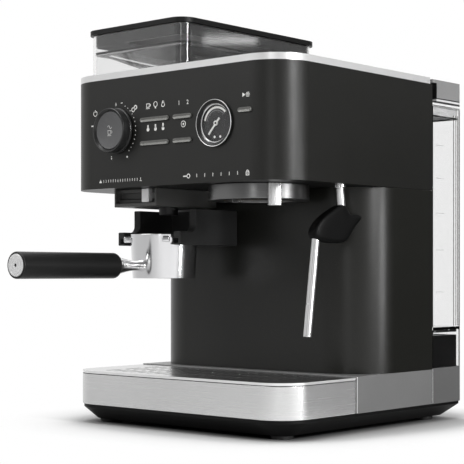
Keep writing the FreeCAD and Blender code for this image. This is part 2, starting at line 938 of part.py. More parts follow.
def burr_housing():
    plate_radius = gear_radius + grinder_plate_margin
    bottom = grinder_plate_bottom
    top = grinder_plate_top
    plate = rod(plate_radius, burr_x, burr_y, bottom, top)
    plate = plate.fuse(rod(motor_radius, burr_x, motor_y, bottom, top))
    plate = plate.fuse(box(burr_x - motor_radius, burr_x + motor_radius, burr_y, motor_y, bottom, top))
    body = plate.fuse(rod(housing_radius, burr_x, burr_y, top, housing_top))
    for degrees in grinder_post_angles:
        angle = math.radians(degrees)
        reach = plate_radius - grinder_post_radius - grinder_post_inset
        x = burr_x + reach * math.cos(angle)
        y = burr_y + reach * math.sin(angle)
        body = body.fuse(rod(grinder_post_radius, x, y, floor_top, bottom))
    chute_top = top + chute_drop
    half = chute_width / 2
    chute = box(burr_x - half, burr_x + half, chute_front, burr_y, floor_top, chute_top)
    chute = chute.cut(rod(gear_radius + gear_module + chute_wall, burr_x, burr_y, floor_top, bottom))
    body = body.fuse(chute)
    bore = housing_radius - housing_wall
    inner = half - chute_wall
    body = body.cut(rod(bore, burr_x, burr_y, top + housing_wall, housing_top))
    body = body.cut(
        box(burr_x - inner, burr_x + inner, chute_front + chute_wall, burr_y, top + housing_wall,
            chute_top - chute_wall)
    )
    chute_back = portafilter_y + outlet_depth / 2
    body = body.cut(
        box(burr_x - inner, burr_x + inner, chute_front + chute_wall, chute_back, floor_top,
            chute_top - chute_wall)
    )
    body = body.cut(rod(burr_shaft_radius + running_gap, burr_x, burr_y, bottom, top + housing_wall))
    body = body.cut(rod(motor_shaft_radius + running_gap, burr_x, motor_y, bottom, top))
    return body.removeSplitter()


def outer_burr():
    bottom = grinder_plate_top + burr_ring_lift
    top = bottom + burr_ring_height
    ring = rod(housing_radius - housing_wall - running_gap, burr_x, burr_y, bottom, top)
    return ring.cut(rod(burr_ring_bore, burr_x, burr_y, bottom, top))


def grinder_motor():
    can = rod(motor_radius, burr_x, motor_y, grinder_plate_top, head_top - motor_top_gap)
    bore_top = grinder_plate_top + motor_shaft_grip + seat_gap
    return can.cut(rod(motor_shaft_radius + running_gap, burr_x, motor_y, grinder_plate_top, bore_top))


# Grind outlet and cradle
block_bottom = head_bottom - block_height
slider_z = head_bottom - slider_height / 2 - seat_gap


def grind_block():
    half = block_width / 2
    block = box(cradle_x - half, cradle_x + half, block_front, block_back, block_bottom, head_bottom)
    track = half - slider_end_wall
    reach = slider_height / 2 + seat_gap
    tongue = slider_tongue_height / 2 + seat_gap
    slot_back = block_front + slider_depth
    block = block.cut(
        box(cradle_x - track, cradle_x + track, block_front, slot_back, slider_z - reach, slider_z + reach)
    )
    groove_back = slot_back + slider_tongue_depth + seat_gap
    block = block.cut(
        box(cradle_x - track, cradle_x + track, slot_back, groove_back, slider_z - tongue, slider_z + tongue)
    )
    return block.cut(outlet_hole(block_bottom, head_bottom))


def grind_slider():
    half = slider_width / 2
    reach = slider_height / 2
    tongue = slider_tongue_height / 2
    back = block_front + slider_depth - seat_gap
    front = block_front - slider_proud
    tab = box(slider_x - half, slider_x + half, front, back, slider_z - reach, slider_z + reach)
    key_back = back + slider_tongue_depth
    key = box(slider_x - half, slider_x + half, back, key_back, slider_z - tongue, slider_z + tongue)
    return tab.fuse(key).removeSplitter()


def ear_centre_z():
    return ring_top - ear_drop - ear_thickness / 2


def portafilter_cradle():
    inner = basket_ring_radius + cradle_clearance
    outer = inner + cradle_wall
    bottom = head_bottom - cradle_bottom_drop
    arm_top = bottom + cradle_arm_height
    top = head_bottom - cradle_top_drop
    side = Part.makePolygon(
        [
            Vector(0, cradle_arm_front, bottom), Vector(0, column_setback, bottom),
            Vector(0, column_setback, top), Vector(0, cradle_wall_front, top),
            Vector(0, cradle_wall_front, arm_top),
            Vector(0, cradle_arm_front, arm_top), Vector(0, cradle_arm_front, bottom),
        ]
    )
    block = Part.Face(side).extrude(Vector(2 * outer, 0, 0))
    block.translate(Vector(cradle_x - outer, 0, 0))
    step = box(
        cradle_x - outer, cradle_x + outer, cradle_wall_front - cradle_fillet, cradle_wall_front,
        arm_top, arm_top + cradle_fillet,
    )
    step = step.cut(
        rod_along_x(
            cradle_fillet, cradle_wall_front - cradle_fillet, arm_top + cradle_fillet,
            cradle_x - outer, cradle_x + outer,
        )
    )
    block = block.fuse(step)
    bay_back = column_setback - cradle_back_wall
    block = block.cut(box(cradle_x - inner, cradle_x + inner, 0, bay_back, bottom, top))
    groove_half = ear_thickness / 2 + ear_gap
    groove_reach = basket_ring_radius + ear_reach + ear_gap
    groove_back = portafilter_y + ear_width / 2 + seat_gap
    z = ear_centre_z()
    groove = box(
        cradle_x - groove_reach, cradle_x + groove_reach, 0, groove_back, z - groove_half, z + groove_half
    )
    return block.cut(groove).removeSplitter()


# Portafilter
def tapered_ring():
    centre = Vector(cradle_x, portafilter_y, ring_top - basket_ring_height)
    return Part.makeCone(ring_bottom_radius, basket_ring_radius, basket_ring_height, centre)


def portafilter_body():
    bottom = ring_top - basket_ring_height
    ring = tapered_ring()
    z = ear_centre_z()
    half = ear_thickness / 2
    reach = basket_ring_radius + ear_reach
    ears = box(
        cradle_x - reach, cradle_x + reach, portafilter_y - ear_width / 2, portafilter_y + ear_width / 2,
        z - half, z + half,
    )
    bore = basket_ring_radius - ring_wall
    ring = ring.fuse(ears).cut(rod(bore, cradle_x, portafilter_y, bottom + ring_floor, ring_top))
    rim_seat = basket_rim_radius + running_gap
    ring = ring.cut(rod(rim_seat, cradle_x, portafilter_y, ring_top - basket_rim_height, ring_top))
    spout = rod(spout_hole_radius, cradle_x, portafilter_y, bottom, bottom + ring_floor)
    return ring.cut(spout).removeSplitter()


def filter_basket():
    bottom = ring_top - basket_depth
    cup = rod(basket_radius, cradle_x, portafilter_y, bottom, ring_top)
    cup = cup.fuse(rod(basket_rim_radius, cradle_x, portafilter_y, ring_top - basket_rim_height, ring_top))
    hollow = rod(basket_radius - basket_wall, cradle_x, portafilter_y, bottom + basket_wall, ring_top)
    return cup.cut(hollow).removeSplitter()


def portafilter_neck():
    start = -grip_inner_reach
    neck = spun_along_y(cradle_x, handle_z, [(start + back, radius) for back, radius in neck_stations])
    neck = neck.cut(tapered_ring())
    tang = rod_along_y(tang_radius, cradle_x, handle_z, start - tang_length, start)
    return neck.fuse(tang).removeSplitter()


def portafilter_grip():
    end = -handle_reach + cap_proud
    start = -grip_inner_reach
    grip = rod_along_y(grip_radius, cradle_x, handle_z, end, start)
    rims = [edge for edge in grip.Edges if edge.Curve.TypeId == "Part::GeomCircle"]
    outer_rim = min(rims, key=lambda rim: rim.CenterOfMass.y)
    grip = grip.makeFillet(grip_edge_radius, [outer_rim])
    rims = [edge for edge in grip.Edges if edge.Curve.TypeId == "Part::GeomCircle"]
    inner_rim = max(rims, key=lambda rim: rim.CenterOfMass.y)
    grip = grip.makeFillet(grip_shoulder_radius, [inner_rim])
    tang_end = start - tang_length - running_gap
    cap_back = end + cap_depth - cap_proud
    grip = grip.cut(rod_along_y(tang_radius + running_gap, cradle_x, handle_z, tang_end, start))
    grip = grip.cut(rod_along_y(cap_radius + running_gap, cradle_x, handle_z, end, cap_back))
    stem_end = -handle_reach + cap_depth + cap_stem_length + running_gap
    return grip.cut(rod_along_y(cap_stem_radius + running_gap, cradle_x, handle_z, end, stem_end))


def grip_end_cap():
    cap = rod_along_y(cap_radius, cradle_x, handle_z, -handle_reach, -handle_reach + cap_depth)
    stem_end = -handle_reach + cap_depth + cap_stem_length
    stem = rod_along_y(cap_stem_radius, cradle_x, handle_z, -handle_reach, stem_end)
    return cap.fuse(stem).removeSplitter()


# Brewing group
group_socket_bottom = head_bottom - group_socket_drop
group_ceiling = group_socket_bottom + group_socket_depth
group_top = floor_top + group_height
socket_bore = basket_ring_radius + collar_lip_clearance


def group_head():
    neck = rod(group_neck_radius, group_x, group_y, group_socket_bottom, group_top)
    flange = rod(group_flange_radius, group_x, group_y, floor_top, floor_top + group_flange_height)
    body = neck.fuse(flange)
    return body.cut(rod(socket_bore, group_x, group_y, group_socket_bottom, group_ceiling)).removeSplitter()


def lock_collar():
    top = head_bottom - seat_gap
    lip_top = collar_bottom + collar_lip_height
    ring = rod(collar_radius, group_x, group_y, collar_bottom, top)
    ring = ring.cut(rod(group_neck_radius + running_gap, group_x, group_y, lip_top, top))
    ring = ring.cut(rod(socket_bore, group_x, group_y, collar_bottom, lip_top))
    reach = basket_ring_radius + ear_reach + collar_lip_clearance
    half = ear_width / 2 + collar_lip_clearance
    notch = box(group_x - reach, group_x + reach, group_y - half, group_y + half, collar_bottom, lip_top)
    return ring.cut(notch)


def collar_tab():
    bottom = collar_bottom - tab_drop
    top = head_bottom - seat_gap
    outer = rod(collar_radius + tab_thickness, group_x, group_y, bottom, top)
    band = outer.cut(rod(collar_radius, group_x, group_y, bottom, top))
    half = tab_width / 2
    slice_box = box(group_x - half, group_x + half, group_y - 2 * collar_radius, group_y, bottom, top)
    slice_box.rotate(Vector(group_x, group_y, 0), Vector(0, 0, 1), tab_angle)
    return band.common(slice_box)


def group_gasket():
    outer = socket_bore - gasket_fit
    inner = screen_radius + gasket_fit
    ring = rod(outer, group_x, group_y, group_ceiling - gasket_height, group_ceiling)
    return ring.cut(rod(inner, group_x, group_y, group_ceiling - gasket_height, group_ceiling))


def shower_screen():
    bottom = group_ceiling - screen_thickness
    screen = rod(screen_radius, group_x, group_y, bottom, group_ceiling)
    holes = []
    for radius, count in zip(screen_ring_radii, screen_hole_counts):
        for i in range(count):
            angle = 2 * math.pi * i / count
            x = group_x + radius * math.cos(angle)
            y = group_y + radius * math.sin(angle)
            holes.append(rod(screen_hole_radius, x, y, bottom, group_ceiling))
    return screen.cut(Part.makeCompound(holes))


# Water system
boiler_side = boiler_radius + nipple_length


def boiler():
    flange_top = floor_top + boiler_flange_height
    flange = rod(boiler_radius + boiler_flange, boiler_x, boiler_y, floor_top, flange_top)
    tank = rod(boiler_radius, boiler_x, boiler_y, floor_top, floor_top + boiler_height)
    cross = rod_along_x(hose_radius, boiler_y, pipe_z, boiler_x - boiler_side, boiler_x + boiler_side)
    outlet = rod_along_y(hose_radius, boiler_x, pipe_z, boiler_y - boiler_side, boiler_y)
    return flange.fuse(tank).fuse(cross).fuse(outlet).removeSplitter()


def water_pump():
    can = rod(pump_radius, pump_x, pump_y, pump_bottom, pump_top - pump_nipple)
    can = can.fuse(rod(hose_radius, pump_x, pump_y, pump_bottom - pump_nipple, pump_top))
    half = pump_bracket_depth / 2
    for side in (-1, 1):
        inner = pump_x + side * (pump_radius - pump_bracket / 2)
        outer = pump_x + side * (pump_radius + pump_bracket / 2)
        leg_top = pump_bottom + pump_height / 2
        leg = box(min(inner, outer), max(inner, outer), pump_y - half, pump_y + half, base_top, leg_top)
        can = can.fuse(leg)
    return can.removeSplitter()


def solenoid_valve():
    half = solenoid_width / 2
    reach = solenoid_depth / 2
    top = group_top + solenoid_height
    return box(group_x - half, group_x + half, group_y - reach, group_y + reach, group_top, top)


def hoses():
    seat_front = dock_y - valve_seat_width / 2
    suction = pipe(
        [
            Vector(pump_x, seat_front, suction_z), Vector(pump_x, pump_y, suction_z),
            Vector(pump_x, pump_y, pump_bottom - pump_nipple),
        ],
        hose_radius, hose_bend,
    )
    pressure = pipe(
        [
            Vector(pump_x, pump_y, pump_top), Vector(pump_x, pump_y, pipe_z),
            Vector(boiler_x - boiler_side, pump_y, pipe_z),
        ],
        hose_radius, hose_bend,
    )
    brew = rod_along_y(
        hose_radius, boiler_x, pipe_z, group_y + solenoid_depth / 2, boiler_y - boiler_side
    )
    steam = pipe(
        [
            Vector(boiler_x + boiler_side, boiler_y, pipe_z), Vector(wand_x, boiler_y, pipe_z),
            Vector(wand_x, wand_y, pipe_z), Vector(wand_x, wand_y, floor_top + socket_height),
        ],
        hose_radius, hose_bend,
    )
    return Part.makeCompound([suction, pressure, brew, steam])


# Steam wand
def wand_point(s, drop):
    yaw = math.radians(wand_yaw_angle)
    return Vector(wand_x - s * math.sin(yaw), wand_y - s * math.cos(yaw), head_bottom + drop)


def wand_socket():
    bottom = head_bottom - socket_drop
    body = rod(socket_radius, wand_x, wand_y, bottom, floor_top + socket_height)
    body = body.fuse(rod(socket_flange_radius, wand_x, wand_y, floor_top, floor_top + socket_flange_height))
    bore_top = head_bottom + wand_top_rise + seat_gap
    return body.cut(rod(wand_radius + running_gap, wand_x, wand_y, bottom, bore_top)).removeSplitter()


def wand_path():
    return [wand_point(0.0, wand_top_rise)] + [wand_point(s, drop) for s, drop in wand_points]


def tip_start():
    joint = wand_point(*wand_points[-1])
    end = wand_point(*wand_tip_point)
    return end + (joint - end).normalize() * tip_length, end


def wand_tube():
    start, end = tip_start()
    return pipe(wand_path() + [start], wand_radius, wand_bend)


def wand_tip():
    start, end = tip_start()
    along = (end - start).normalize()
    shank = Part.makeCylinder(wand_radius - tip_groove / 2, tip_groove, start, along)
    nozzle = Part.makeCylinder(wand_radius, tip_length - tip_groove, start + along * tip_groove, along)
    hole = Part.makeCylinder(tip_hole_radius, tip_hole_depth, end, along * -1)
    return shank.fuse(nozzle).cut(hole).removeSplitter()


def wand_grip():
    points = [wand_point(s, drop) for s, drop in grip_outline]
    curve = Part.BSplineCurve()
    curve.interpolate(points, PeriodicFlag=True)
    across = (wand_point(1.0, 0.0) - wand_point(0.0, 0.0)).cross(Vector(0, 0, 1)).normalize()
    paddle = Part.Face(Part.Wire(curve.toShape())).extrude(across * grip_thickness)
    paddle.translate(across * (-grip_thickness / 2))
    start, end = tip_start()
    return paddle.cut(pipe(wand_path() + [start], wand_radius + grip_fit, wand_bend))


# Water tank
def dock_slab(inset, z0, z1, front_gap):
    return slab(
        -half_width + inset, half_width - inset, case_depth + front_gap + inset, body_back - inset, z0, z1,
        running_gap, max(back_corner - inset, running_gap),
    )


def tank_dock():
    front_gap = joint_line / 2
    hollow = dock_slab(wall, pan_top, dock_top - wall, front_gap)
    dock = dock_slab(0, pan_top, dock_top, front_gap).cut(hollow)
    half = valve_seat_width / 2
    seat_top = dock_top - wall
    seat_bottom = suction_z - half
    dock = dock.fuse(box(pump_x - half, pump_x + half, dock_y - half, dock_y + half, seat_bottom, seat_top))
    wall_back = case_depth + front_gap + wall
    dock = dock.cut(rod_along_y(hose_hole_radius, pump_x, suction_z, case_depth, wall_back))
    z = pan_top + gland_rise
    dock = dock.cut(rod_along_y(gland_radius + running_gap, gland_x, z, body_back - wall, body_back))
    flange_radius = gland_flange_radius + running_gap
    flange = rod_along_y(flange_radius, gland_x, z, body_back - gland_flange_depth, body_back)
    return dock.cut(flange).removeSplitter()


def cord_gland():
    z = pan_top + gland_rise
    gland = rod_along_y(gland_radius, gland_x, z, body_back - gland_length, body_back)
    flange = rod_along_y(gland_flange_radius, gland_x, z, body_back - gland_flange_depth, body_back)
    bore = rod_along_y(gland_bore_radius, gland_x, z, body_back - gland_length, body_back)
    return gland.fuse(flange).cut(bore).removeSplitter()


def tank_plinth():
    inset = tank_wall + plinth_gap
    plinth = dock_slab(inset, dock_top, plinth_top, tank_gap)
    plinth = plinth.cut(dock_slab(inset + plinth_wall, dock_top, plinth_top - plinth_wall, tank_gap))
    hole = valve_radius + valve_clearance
    return plinth.cut(rod(hole, pump_x, dock_y, plinth_top - plinth_wall, plinth_top))


tank_bottom = dock_top + seat_gap
tank_floor_top = dock_top + tank_floor_rise + tank_floor
tank_top = dock_top + tank_height


def tank_body():
    tank = dock_slab(0, tank_bottom, tank_top, tank_gap)
    tank = tank.cut(dock_slab(tank_wall, tank_floor_top, tank_top, tank_gap))
    tank = tank.cut(dock_slab(tank_wall, tank_bottom, tank_floor_top - tank_floor, tank_gap))
    hole = valve_radius + running_gap
    return tank.cut(rod(hole, pump_x, dock_y, tank_floor_top - tank_floor, tank_floor_top))


def tank_valve():
    flange = rod(valve_flange_radius, pump_x, dock_y, tank_floor_top, tank_floor_top + valve_flange_height)
    return flange.fuse(rod(valve_radius, pump_x, dock_y, tank_floor_top - valve_reach, tank_floor_top))


def tank_lid():
    bottom = tank_top + seat_gap
    rim_top = bottom + lid_rim_height
    top = rim_top + lid_block_height
    rim = dock_slab(floor_fit, bottom, rim_top, tank_gap)
    front_gap = tank_gap + lid_block_front
    block = dock_slab(floor_fit, rim_top, top, front_gap)
    flange = dock_slab(floor_fit, top - lid_flange_height, top, tank_gap)
    inset = tank_wall + lid_plug_gap
    plug = dock_slab(inset, bottom - lid_plug, bottom, tank_gap)
    plug = plug.cut(dock_slab(inset + lid_plug_wall, bottom - lid_plug, bottom, tank_gap))
    return rim.fuse(block).fuse(flange).fuse(plug).removeSplitter()


def write_parts():
    plain = (
        base_pan, feet, rear_base_cover, drip_tray, drip_grid, column_shell, head_shell, head_floor,
        rear_cover, case_screws, top_trim, top_plate, control_knob, knob_face, control_board,
        gauge_case, gauge_bezel, gauge_lens, gauge_needle, hopper_body, hopper_funnel, hopper_lid,
        burr_gear, burr_cone, motor_pinion, burr_housing, outer_burr, grinder_motor, grind_block,
        grind_slider, portafilter_cradle, portafilter_body, filter_basket, portafilter_neck,
        portafilter_grip, grip_end_cap, group_head, lock_collar, collar_tab, group_gasket,
        shower_screen, boiler, water_pump, solenoid_valve, hoses, wand_socket, wand_tube, wand_tip,
        wand_grip, tank_dock, cord_gland, tank_plinth, tank_body, tank_valve, tank_lid,
    )
    pieces = {make.__name__: make() for make in plain}
    for name, place in button_places().items():
        pieces[name] = button(place)
    os.makedirs("parts", exist_ok=True)
    for name, shape in pieces.items():
        shape.translate(Vector(0, front_y, 0))
        shape.exportStep("parts/" + name + ".step")
        print(name, len(shape.Solids), "solid", shape.isValid(), round(shape.Volume / 1000, 2), "cm3")


write_parts()
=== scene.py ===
import bpy
import math
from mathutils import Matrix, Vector


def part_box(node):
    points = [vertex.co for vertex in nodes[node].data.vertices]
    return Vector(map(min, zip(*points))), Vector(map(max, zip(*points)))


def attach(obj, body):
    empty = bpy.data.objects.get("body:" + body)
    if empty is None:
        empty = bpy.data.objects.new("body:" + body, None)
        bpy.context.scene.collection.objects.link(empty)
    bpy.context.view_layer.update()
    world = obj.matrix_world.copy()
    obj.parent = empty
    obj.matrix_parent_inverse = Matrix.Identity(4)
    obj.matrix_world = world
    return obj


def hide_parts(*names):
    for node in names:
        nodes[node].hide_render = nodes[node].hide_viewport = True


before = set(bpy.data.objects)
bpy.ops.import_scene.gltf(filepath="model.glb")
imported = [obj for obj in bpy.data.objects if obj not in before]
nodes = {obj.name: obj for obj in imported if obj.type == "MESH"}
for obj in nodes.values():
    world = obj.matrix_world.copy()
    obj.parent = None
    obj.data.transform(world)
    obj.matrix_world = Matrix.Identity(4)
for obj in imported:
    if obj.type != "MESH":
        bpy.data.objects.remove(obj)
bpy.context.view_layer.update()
mm = 0.001
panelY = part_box("head_shell")[0].y  # front face of the head
print("frame loaded,", len(nodes), "nodes")


# selecting, copying and placing

def dropSelection():
    if bpy.context.object and bpy.context.object.mode != "OBJECT":
        bpy.ops.object.mode_set(mode="OBJECT")
    bpy.ops.object.select_all(action="DESELECT")


def pick(*pieces):
    dropSelection()
    for piece in pieces:
        piece.select_set(True)
    bpy.context.view_layer.objects.active = pieces[0]


def editAll(piece):
    pick(piece)
    bpy.ops.object.mode_set(mode="EDIT")
    bpy.ops.mesh.select_all(action="SELECT")


def fixPlace(piece):
    pick(piece)
    bpy.ops.object.transform_apply(location=True, rotation=True, scale=True)


def useModifier(piece, kind, **values):
    pick(piece)
    bpy.ops.object.modifier_add(type=kind)
    modifier = piece.modifiers[-1]
    for key, value in values.items():
        setattr(modifier, key, value)
    bpy.ops.object.modifier_apply(modifier=modifier.name)


def smoothByAngle(piece, degrees=38):
    pick(piece)
    bpy.ops.object.shade_smooth_by_angle(angle=math.radians(degrees))


def roundEdges(piece, width, steps=3, degrees=30):
    useModifier(piece, "BEVEL", width=width * mm, segments=steps, limit_method="ANGLE",
                angle_limit=math.radians(degrees), use_clamp_overlap=True)
    smoothByAngle(piece)
    useModifier(piece, "WEIGHTED_NORMAL", keep_sharp=True, weight=80)


def copyNode(nodeName, pieceName):
    pick(nodes[nodeName])
    bpy.ops.object.duplicate()
    piece = bpy.context.object
    piece.name = pieceName
    piece.parent = None
    for key in list(piece.keys()):
        del piece[key]
    editAll(piece)
    bpy.ops.mesh.customdata_custom_splitnormals_clear()
    bpy.ops.mesh.remove_doubles(threshold=0.000002)
    bpy.ops.mesh.dissolve_limited(angle_limit=math.radians(0.15))
    dropSelection()
    return piece


def keepSide(piece, height, upper):  # cuts the piece flat at a height and keeps one side of it
    editAll(piece)
    bpy.ops.mesh.bisect(plane_co=(0, 0, height * mm), plane_no=(0, 0, 1), threshold=0.000001,
                        clear_inner=upper, clear_outer=not upper)
    dropSelection()


def closeCut(piece):
    pick(piece)
    bpy.ops.object.mode_set(mode="EDIT")
    bpy.ops.mesh.select_all(action="DESELECT")
    bpy.ops.mesh.select_mode(type="EDGE")
    bpy.ops.mesh.select_non_manifold(extend=False, use_wire=False, use_boundary=True, use_multi_face=False,
                                     use_non_contiguous=False, use_verts=False)
    bpy.ops.mesh.fill(use_beauty=True)
    bpy.ops.mesh.select_mode(type="VERT")
    dropSelection()


def settle(piece, body, slotName, material, *replaced):
    piece.data.materials.clear()
    piece.data.materials.append(material)
    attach(piece, body)
    if replaced:
        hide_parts(*replaced)


def startPath(name):  # one vertex at the origin, in edit mode
    dropSelection()
    bpy.ops.mesh.primitive_plane_add(size=mm, location=(0, 0, 0))
    piece = bpy.context.object
    piece.name = name
    bpy.ops.object.mode_set(mode="EDIT")
    bpy.ops.mesh.select_all(action="SELECT")
    bpy.ops.mesh.merge(type="CENTER")
    return piece


def drawPath(points):
    bpy.ops.transform.translate(value=points[0])
    for before, after in zip(points, points[1:]):
        bpy.ops.mesh.extrude_vertices_move(TRANSFORM_OT_translate={"value": after - before})


def turned(name, profile, centre, axis=(0, 1, 0), steps=96):  # profile is (along the axis, radius) in mm
    along = Vector(axis)
    out = Vector((0, 0, 1)) if abs(along.z) < 0.5 else Vector((1, 0, 0))
    piece = startPath(name)
    drawPath([Vector(centre) + along * (a * mm) + out * (r * mm) for a, r in profile])
    bpy.ops.mesh.select_all(action="SELECT")
    bpy.ops.mesh.spin(steps=steps, angle=2 * math.pi, center=centre, axis=axis)
    bpy.ops.mesh.select_all(action="SELECT")
    bpy.ops.mesh.remove_doubles(threshold=0.000002)
    bpy.ops.mesh.normals_make_consistent(inside=False)
    smoothByAngle(piece, 32)
    return piece


def joinPieces(name, pieces):
    pick(*pieces)
    bpy.ops.object.join()
    piece = bpy.context.object
    piece.name = name
    return piece


# shader groups

def newGroup(name, inputs, outputs):
    group = bpy.data.node_groups.new(name, "ShaderNodeTree")
    for label, kind, value in inputs:
        socket = group.interface.new_socket(label, in_out="INPUT", socket_type="NodeSocket" + kind)
        if value is not None:
            socket.default_value = value
    for label, kind in outputs:
        group.interface.new_socket(label, in_out="OUTPUT", socket_type="NodeSocket" + kind)
    return group, group.nodes.new("NodeGroupInput"), group.nodes.new("NodeGroupOutput")


def mathNode(tree, operation, first, second):
    node = tree.nodes.new("ShaderNodeMath")
    node.operation = operation
    for socket, value in zip(node.inputs, (first, second)):
        if isinstance(value, (int, float)):
            socket.default_value = value
        else:
            tree.links.new(value, socket)
    return node.outputs[0]


def mapRange(tree, value, low, high, atLow, atHigh):
    ramp = tree.nodes.new("ShaderNodeMapRange")
    for label, number in (("From Min", low), ("From Max", high), ("To Min", atLow), ("To Max", atHigh)):
        ramp.inputs[label].default_value = number
    tree.links.new(value, ramp.inputs["Value"])
    return ramp.outputs["Result"]


def noiseNode(tree, position, scale, detail=3.0, roughness=0.55):
    node = tree.nodes.new("ShaderNodeTexNoise")
    node.inputs["Detail"].default_value = detail
    node.inputs["Roughness"].default_value = roughness
    tree.links.new(position, node.inputs["Vector"])
    if isinstance(scale, (int, float)):
        node.inputs["Scale"].default_value = scale
    else:
        tree.links.new(scale, node.inputs["Scale"])
    return node.outputs["Fac"]


def makeGrainGroup():  # fine moulded or sprayed texture
    group, given, made = newGroup("sprayGrain", [("Position", "Vector", None), ("Scale", "Float", 2000.0)],
                                  [("Height", "Float"), ("Fleck", "Float")])
    fine = noiseNode(group, given.outputs["Position"], given.outputs["Scale"], 2.0)
    coarser = mathNode(group, "MULTIPLY", given.outputs["Scale"], 0.31)
    broad = noiseNode(group, given.outputs["Position"], coarser)
    group.links.new(mathNode(group, "ADD", mathNode(group, "MULTIPLY", fine, 0.65),
                             mathNode(group, "MULTIPLY", broad, 0.35)), made.inputs["Height"])
    spread = group.nodes.new("ShaderNodeMapRange")
    spread.inputs["From Min"].default_value = 0.58
    spread.inputs["From Max"].default_value = 0.74
    group.links.new(fine, spread.inputs["Value"])
    group.links.new(spread.outputs["Result"], made.inputs["Fleck"])
    return group


def makeDriftGroup():  # slow change of tone over a surface
    group, given, made = newGroup(
        "toneDrift",
        [("Position", "Vector", None), ("Colour", "Color", (1, 1, 1, 1)), ("Scale", "Float", 20.0),
         ("Amount", "Float", 0.1)],
        [("Colour", "Color"), ("Mask", "Float")])
    cloud = noiseNode(group, given.outputs["Position"], given.outputs["Scale"], 4.0)
    swing = mathNode(group, "MULTIPLY", mathNode(group, "SUBTRACT", cloud, 0.5), given.outputs["Amount"])
    gain = mathNode(group, "ADD", mathNode(group, "MULTIPLY", swing, 2.0), 1.0)
    scaled = group.nodes.new("ShaderNodeVectorMath")
    scaled.operation = "SCALE"
    group.links.new(given.outputs["Colour"], scaled.inputs[0])
    group.links.new(gain, scaled.inputs["Scale"])
    group.links.new(scaled.outputs[0], made.inputs["Colour"])
    group.links.new(cloud, made.inputs["Mask"])
    return group


def makeSmudgeGroup():  # roughness that varies as a handled surface does
    group, given, made = newGroup(
        "handledGloss",
        [("Position", "Vector", None), ("Base", "Float", 0.3), ("Amount", "Float", 0.05),
         ("Scale", "Float", 35.0)],
        [("Roughness", "Float")])
    cloud = noiseNode(group, given.outputs["Position"], given.outputs["Scale"], 5.0, 0.65)
    swing = mathNode(group, "MULTIPLY", mathNode(group, "SUBTRACT", cloud, 0.45), given.outputs["Amount"])
    group.links.new(mathNode(group, "ADD", given.outputs["Base"], mathNode(group, "MULTIPLY", swing, 2.0)),
                    made.inputs["Roughness"])
    return group


def makeBrushGroup():  # long fine lines, stretched where the stretch vector is small
    group, given, made = newGroup(
        "brushLines",
        [("Position", "Vector", None), ("Stretch", "Vector", (8, 8, 1500))],
        [("Lines", "Float")])
    pull = group.nodes.new("ShaderNodeVectorMath")
    pull.operation = "MULTIPLY"
    group.links.new(given.outputs["Position"], pull.inputs[0])
    group.links.new(given.outputs["Stretch"], pull.inputs[1])
    group.links.new(noiseNode(group, pull.outputs[0], 1.0, 5.0, 0.7), made.inputs["Lines"])
    return group


grainGroup = makeGrainGroup()
driftGroup = makeDriftGroup()
smudgeGroup = makeSmudgeGroup()
brushGroup = makeBrushGroup()
print("shader groups made")


# materials

def newMaterial(name):
    material = bpy.data.materials.new(name)
    material.use_nodes = True
    tree = material.node_tree
    shader = tree.nodes["Principled BSDF"]
    place = tree.nodes.new("ShaderNodeTexCoord").outputs["Object"]
    return material, tree, shader, place


def useGroup(tree, group, **values):
    node = tree.nodes.new("ShaderNodeGroup")
    node.node_tree = group
    for key, value in values.items():
        if isinstance(value, bpy.types.NodeSocket):
            tree.links.new(value, node.inputs[key])
        else:
            node.inputs[key].default_value = value
    return node.outputs


def setColour(tree, shader, place, colour, drift, scale):
    tone = useGroup(tree, driftGroup, Position=place, Colour=(*colour, 1), Scale=scale, Amount=drift)
    tree.links.new(tone["Colour"], shader.inputs["Base Color"])


def setGloss(tree, shader, place, roughness, amount, scale=35.0):
    gloss = useGroup(tree, smudgeGroup, Position=place, Base=roughness, Amount=amount, Scale=scale)
    tree.links.new(gloss["Roughness"], shader.inputs["Roughness"])


def setBump(tree, shader, height, strength, distance):
    bump = tree.nodes.new("ShaderNodeBump")
    bump.inputs["Strength"].default_value = strength
    bump.inputs["Distance"].default_value = distance * mm
    tree.links.new(height, bump.inputs["Height"])
    tree.links.new(bump.outputs["Normal"], shader.inputs["Normal"])


def sprayed(name, colour, roughness, grain=2200.0, bump=0.2, fleck=0.0, metallic=0.0, shine=0.5):
    material, tree, shader, place = newMaterial(name)
    spots = useGroup(tree, grainGroup, Position=place, Scale=grain)
    tone = useGroup(tree, driftGroup, Position=place, Colour=(*colour, 1), Scale=14.0, Amount=0.08)
    lift = tree.nodes.new("ShaderNodeMix")
    lift.data_type = "RGBA"
    lift.inputs["B"].default_value = (*[min(1.0, c * 2.4 + 0.02) for c in colour], 1)
    tree.links.new(mathNode(tree, "MULTIPLY", spots["Fleck"], fleck), lift.inputs["Factor"])
    tree.links.new(tone["Colour"], lift.inputs["A"])
    tree.links.new(lift.outputs["Result"], shader.inputs["Base Color"])
    setGloss(tree, shader, place, roughness, 0.05)
    setBump(tree, shader, spots["Height"], bump, 0.06)
    shader.inputs["Metallic"].default_value = metallic
    shader.inputs["Specular IOR Level"].default_value = shine
    return material


